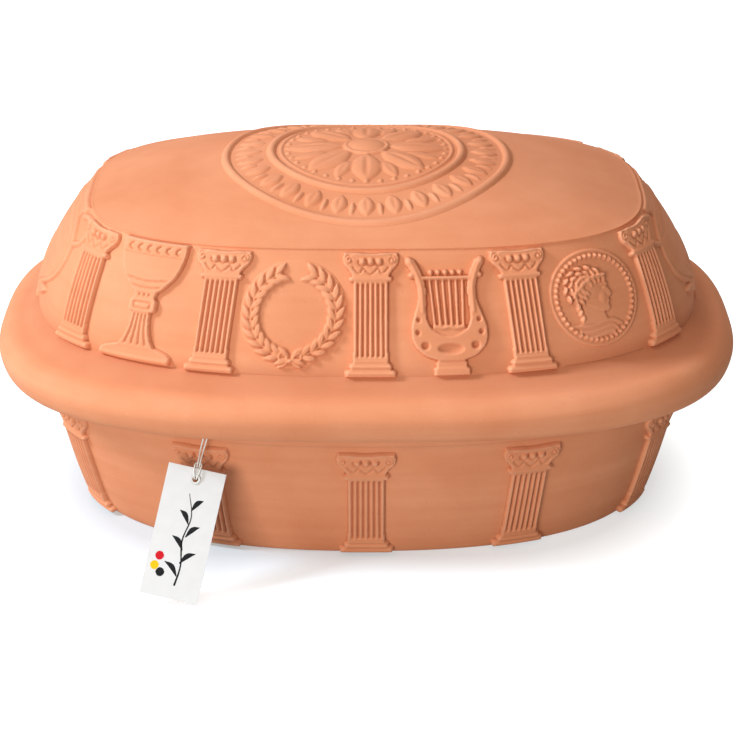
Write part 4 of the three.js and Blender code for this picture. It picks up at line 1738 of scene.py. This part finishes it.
@dataclass(frozen=True)
class Terracotta:
    """Unglazed fired clay, dry to the touch, with shade painted in creases, coves and under the collar and
    highlight painted on ridges.
    """

    light: Colour = (0.83, 0.34, 0.175, 1)
    deep: Colour = (0.68, 0.222, 0.094, 1)
    speck: Colour = (0.86, 0.46, 0.29, 1)
    pit: Colour = (0.45, 0.15, 0.07, 1)
    # Colour of the painted shade in creases, coves and under the collar.
    painted_shade_colour: Colour = (0.36, 0.105, 0.045, 1)
    roughness: float = 0.72
    gloss: float = 0.2
    scales: tuple[float, float, float] = (22, 900, 420)
    # How the painted shade and the painted highlight follow the vertex layer.
    painted_shade_span: Place = (0.08, 0.8)
    painted_shade_share: float = 0.6
    painted_highlight_span: Place = (-0.05, -0.7)
    painted_highlight_share: float = 0.3

    def make(self, grain: bpy.types.NodeTree) -> bpy.types.Material:
        """Builds the material.

        Args:
            grain: The shared grain.

        Returns:
            The material.
        """
        finish, nodes, shader = new_finish("terracotta")
        where = nodes.where()
        body = nodes.grained(grain, where, self.scales)
        streak = nodes.add("ShaderNodeMapping", None, Vector=where, Scale=(6, 6, 130))
        drawn = nodes.add("ShaderNodeTexNoise", None, Vector=streak.outputs[0], Scale=1.0, Detail=3.0)
        tone = nodes.math("MULTIPLY_ADD", nodes.span(drawn.outputs["Fac"], 0.3, 0.7), 0.3, 0.0)
        tone = nodes.math("MULTIPLY_ADD", body["Mottle"], 0.5, tone)
        tone = nodes.math("MULTIPLY_ADD", body["Grain"], 0.25, tone)
        colour = nodes.blend(tone, self.deep, self.light)
        colour = nodes.blend(nodes.math("MULTIPLY", body["Specks"], 0.45), colour, self.speck)
        colour = nodes.blend(nodes.math("MULTIPLY", body["Pits"], 0.5), colour, self.pit)
        # Shade painted where the layer is positive; highlight painted towards the speck colour where it is
        # negative.
        hollow = nodes.add("ShaderNodeAttribute", {"attribute_name": SHADE_AND_HIGHLIGHT_LAYER}).outputs["Fac"]
        low = nodes.math("MULTIPLY", nodes.span(hollow, *self.painted_shade_span), self.painted_shade_share)
        high = nodes.math("MULTIPLY", nodes.span(hollow, *self.painted_highlight_span), self.painted_highlight_share)
        colour = nodes.blend(high, nodes.blend(low, colour, self.painted_shade_colour), self.speck)
        rough = nodes.math("MULTIPLY_ADD", body["Mottle"], 0.1, self.roughness)
        height = nodes.math("MULTIPLY_ADD", body["Pits"], -0.8, body["Grain"])
        bump = nodes.add("ShaderNodeBump", None, Height=height, Strength=0.22, Distance=0.0004)
        nodes.fill(shader, Base_Color=colour, Roughness=rough, Normal=bump.outputs[0])
        nodes.fill(shader, Specular_IOR_Level=self.gloss)
        return finish


@dataclass(frozen=True)
class CardStock:
    """Matt white card."""

    light: Colour = (0.76, 0.735, 0.705, 1)
    deep: Colour = (0.69, 0.665, 0.635, 1)
    scales: tuple[float, float, float] = (160, 2600, 900)

    def make(self, grain: bpy.types.NodeTree) -> bpy.types.Material:
        """Builds the material.

        Args:
            grain: The shared grain.

        Returns:
            The material.
        """
        finish, nodes, shader = new_finish("card_stock")
        where = nodes.where()
        body = nodes.grained(grain, where, self.scales)
        tone = nodes.math("MULTIPLY_ADD", body["Mottle"], 0.5, 0.3)
        colour = nodes.blend(tone, self.deep, self.light)
        rough = nodes.math("MULTIPLY_ADD", body["Grain"], 0.15, 0.55)
        bump = nodes.add("ShaderNodeBump", None, Height=body["Grain"], Strength=0.12, Distance=1e-4)
        nodes.fill(shader, Base_Color=colour, Roughness=rough, Normal=bump.outputs[0])
        return finish


@dataclass(frozen=True)
class Ink:
    """Printed ink with a dry, slightly broken face."""

    name: str
    colour: Colour
    scales: tuple[float, float, float] = (420, 3000, 1500)

    def make(self, grain: bpy.types.NodeTree) -> bpy.types.Material:
        """Builds the material.

        Args:
            grain: The shared grain.

        Returns:
            The material.
        """
        finish, nodes, shader = new_finish(self.name)
        where = nodes.where()
        body = nodes.grained(grain, where, self.scales)
        worn = nodes.math("MULTIPLY", body["Specks"], 0.12)
        paler = tuple(mix(part, 0.8, 0.5) for part in self.colour[:3]) + (1,)
        colour = nodes.blend(worn, self.colour, paler)
        rough = nodes.math("MULTIPLY_ADD", body["Mottle"], 0.2, 0.6)
        nodes.fill(shader, Base_Color=colour, Roughness=rough, Specular_IOR_Level=0.12)
        return finish


@dataclass(frozen=True)
class PressedMetal:
    """Thin pressed metal with fine drawing marks."""

    colour: Colour = (0.56, 0.55, 0.53, 1)
    worn: Colour = (0.40, 0.39, 0.37, 1)

    def make(self) -> bpy.types.Material:
        """Builds the material.

        Returns:
            The material.
        """
        finish, nodes, shader = new_finish("eyelet_metal")
        where = nodes.where()
        drawn = nodes.add("ShaderNodeTexNoise", None, Vector=where, Scale=1800.0, Detail=3.0)
        colour = nodes.blend(drawn.outputs["Fac"], self.worn, self.colour)
        rough = nodes.math("MULTIPLY_ADD", drawn.outputs["Fac"], 0.25, 0.22)
        nodes.fill(shader, Base_Color=colour, Roughness=rough, Metallic=1)
        return finish


@dataclass(frozen=True)
class Twine:
    """Soft twisted cotton."""

    light: Colour = (0.93, 0.90, 0.83, 1)
    deep: Colour = (0.74, 0.69, 0.60, 1)
    scales: tuple[float, float, float] = (300, 4000, 1500)

    def make(self, grain: bpy.types.NodeTree) -> bpy.types.Material:
        """Builds the material.

        Args:
            grain: The shared grain.

        Returns:
            The material.
        """
        finish, nodes, shader = new_finish("twine")
        where = nodes.where()
        twist = nodes.add(
            "ShaderNodeTexWave", {"bands_direction": "DIAGONAL"}, Vector=where, Scale=900.0, Distortion=1.5
        )
        body = nodes.grained(grain, where, self.scales)
        turns = nodes.math("MULTIPLY", twist.outputs["Fac"], 0.6)
        tone = nodes.math("MULTIPLY_ADD", body["Grain"], 0.4, turns)
        colour = nodes.blend(tone, self.deep, self.light)
        bump = nodes.add("ShaderNodeBump", None, Height=twist.outputs["Fac"], Strength=0.5, Distance=0.0002)
        nodes.fill(shader, Base_Color=colour, Roughness=0.95, Normal=bump.outputs[0])
        return finish


def new_finish(name: str) -> tuple[bpy.types.Material, Nodes, bpy.types.Node]:
    """A new material with its shader.

    Args:
        name: The material's name.

    Returns:
        The material, its tree and its shader.
    """
    finish = bpy.data.materials.new(name)
    finish.use_nodes = True
    shader = finish.node_tree.nodes["Principled BSDF"]
    return finish, Nodes(finish.node_tree), shader


class Finishes:
    """The materials of all the pieces."""

    def __init__(self) -> None:
        """Builds each material once."""
        grain = grain_group()
        self.clay = Terracotta().make(grain)
        self.card = CardStock().make(grain)
        self.black_ink = Ink("black_ink", (0.012, 0.012, 0.013, 1)).make(grain)
        self.red_ink = Ink("red_ink", (0.62, 0.012, 0.02, 1)).make(grain)
        self.yellow_ink = Ink("yellow_ink", (0.86, 0.53, 0.01, 1)).make(grain)
        self.metal = PressedMetal().make()
        self.twine = Twine().make(grain)


@dataclass(frozen=True)
class Lamp:
    """A soft square lamp that looks at the roaster, in metres and watts."""

    name: str
    place: tuple[float, float, float]
    size: float
    power: float
    colour: tuple[float, float, float]
    looks_at: tuple[float, float, float] = (0, 0, 0.1)

    def hang(self) -> None:
        """Adds the lamp to the scene."""
        data = bpy.data.lights.new(self.name, "AREA")
        data.size = self.size
        data.energy = self.power
        data.color = self.colour
        lamp = bpy.data.objects.new(self.name, data)
        lamp.location = Vector(self.place)
        lamp.rotation_mode = "QUATERNION"
        lamp.rotation_quaternion = (Vector(self.looks_at) - lamp.location).to_track_quat("-Z", "Y")
        bpy.context.scene.collection.objects.link(lamp)


@dataclass
class Studio:
    """Camera, floor and lights."""

    target: tuple[float, float, float] = (0.0009, 0, 0.0667)
    elevation: float = math.radians(24.63)
    distance: float = 1.35045
    lens: float = 115.07
    foot_core: float = 0.062
    floor_size: float = 12
    floor_colour: Colour = (0.43, 0.50, 0.53, 1)
    # Painted shadow: the floor's glow to the camera is weakest at the foot and rises across this span.
    painted_shadow_glow: float = 0.38
    painted_shadow_lift: float = 0.42
    painted_shadow_span: Place = (0.1, 0.14)
    # Painted light: extra glow on the right, which washes out the cast shadow there; far off the floor
    # glows plain white.
    painted_light_glow: float = 0.2
    far_span: Place = (0.18, 0.36)
    painted_light_right_span: Place = (-0.04, 0.1)
    sky: float = 0.29
    sky_tint: Colour = (1, 0.9, 0.8, 1)
    lamps: tuple[Lamp, ...] = (
        Lamp("key", (-1.65, -0.4, 1.4), 0.42, 38, (0.86, 0.99, 1.14)),
        Lamp("front", (-0.9, -2.2, 0.45), 1.0, 30.5, (1, 0.99, 0.97)),
        Lamp("top", (-0.1, 0.1, 2), 1.6, 9, (1, 1, 1)),
    )

    def camera(self) -> None:
        """Puts the camera at the photograph's viewing angle."""
        data = bpy.data.cameras.new("camera")
        data.sensor_width = 36
        data.lens = self.lens
        camera = bpy.data.objects.new("camera", data)
        back = Vector((0, -math.cos(self.elevation), math.sin(self.elevation)))
        camera.location = Vector(self.target) + back * self.distance
        camera.rotation_mode = "QUATERNION"
        camera.rotation_quaternion = (-back).to_track_quat("-Z", "Y")
        bpy.context.scene.collection.objects.link(camera)
        bpy.context.scene.camera = camera

    def floor(self) -> None:
        """Lays a pale floor that keeps the shadow, with a painted shadow where its glow is weakest close
        round the foot and painted light on the right that washes out the cast shadow there.
        """
        finish, nodes, shader = new_finish("pale_floor")
        out = finish.node_tree.nodes["Material Output"]
        finish.node_tree.nodes.remove(shader)
        seen = nodes.seen()
        where = nodes.where()
        axes = nodes.add("ShaderNodeSeparateXYZ", None, Vector=where).outputs
        past = nodes.math("SUBTRACT", nodes.math("ABSOLUTE", axes["X"]), self.foot_core)
        flat = nodes.add("ShaderNodeCombineXYZ", None, X=nodes.math("MAXIMUM", past, 0.0), Y=axes["Y"])
        away = nodes.add("ShaderNodeVectorMath", {"operation": "LENGTH"}, Vector=flat.outputs[0])
        distance = away.outputs["Value"]
        # Painted shadow: less glow close round the foot.
        near = nodes.span(distance, *self.painted_shadow_span)
        near = nodes.math("MULTIPLY_ADD", near, self.painted_shadow_lift, self.painted_shadow_glow)
        # Painted light: more glow on the right, and plain white far off.
        far = nodes.span(distance, *self.far_span)
        far = nodes.math("MAXIMUM", far, nodes.span(axes["X"], *self.painted_light_right_span))
        strength = nodes.math("MULTIPLY", seen, nodes.math("MULTIPLY_ADD", far, self.painted_light_glow, near))
        glow = nodes.add("ShaderNodeEmission", None, Color=(1, 1, 1, 1), Strength=strength)
        matt = nodes.add("ShaderNodeBsdfDiffuse", None, Color=self.floor_colour)
        both = nodes.add("ShaderNodeAddShader")
        nodes.tree.links.new(matt.outputs[0], both.inputs[0])
        nodes.tree.links.new(glow.outputs[0], both.inputs[1])
        nodes.fill(out, Surface=both.outputs[0])
        bm = bmesh.new()
        bmesh.ops.create_grid(bm, x_segments=1, y_segments=1, size=self.floor_size)
        mesh = bpy.data.meshes.new("floor")
        bm.to_mesh(mesh)
        bm.free()
        mesh.materials.append(finish)
        floor = bpy.data.objects.new("floor", mesh)
        bpy.context.scene.collection.objects.link(floor)

    def world(self) -> None:
        """Fills in with an even sky that is white to the camera."""
        world = bpy.data.worlds.new("studio")
        world.use_nodes = True
        bpy.context.scene.world = world
        nodes = Nodes(world.node_tree)
        back = world.node_tree.nodes["Background"]
        seen = nodes.seen()
        tint = nodes.blend(seen, self.sky_tint, (1, 1, 1, 1))
        nodes.fill(back, Color=tint, Strength=nodes.math("MULTIPLY_ADD", seen, 1 - self.sky, self.sky))

    def build(self) -> None:
        """Sets up everything round the roaster."""
        self.floor()
        self.world()
        for lamp in self.lamps:
            lamp.hang()
        bpy.context.scene.view_settings.view_transform = "Standard"


def main() -> None:
    """Builds the roaster and its studio, and notes the sizes."""
    logging.basicConfig(level=logging.INFO, format="%(message)s")
    studio = Studio()
    studio.camera()
    finishes = Finishes()
    trough = Trough()
    start = trough.rim_front(STRING_X)
    tag = HangTag(tuple(start + Vector(EYE_FROM_RIM)))
    TagString(tag, start).build(finishes.twine, tag.build(finishes))
    ornaments = Ornaments()
    column = ornaments.column()
    trough.build(finishes.clay, column)
    Lid(trough).build(finishes.clay, ornaments, column)
    studio.build()
    bpy.context.view_layer.update()


if __name__ == "__main__":
    main()
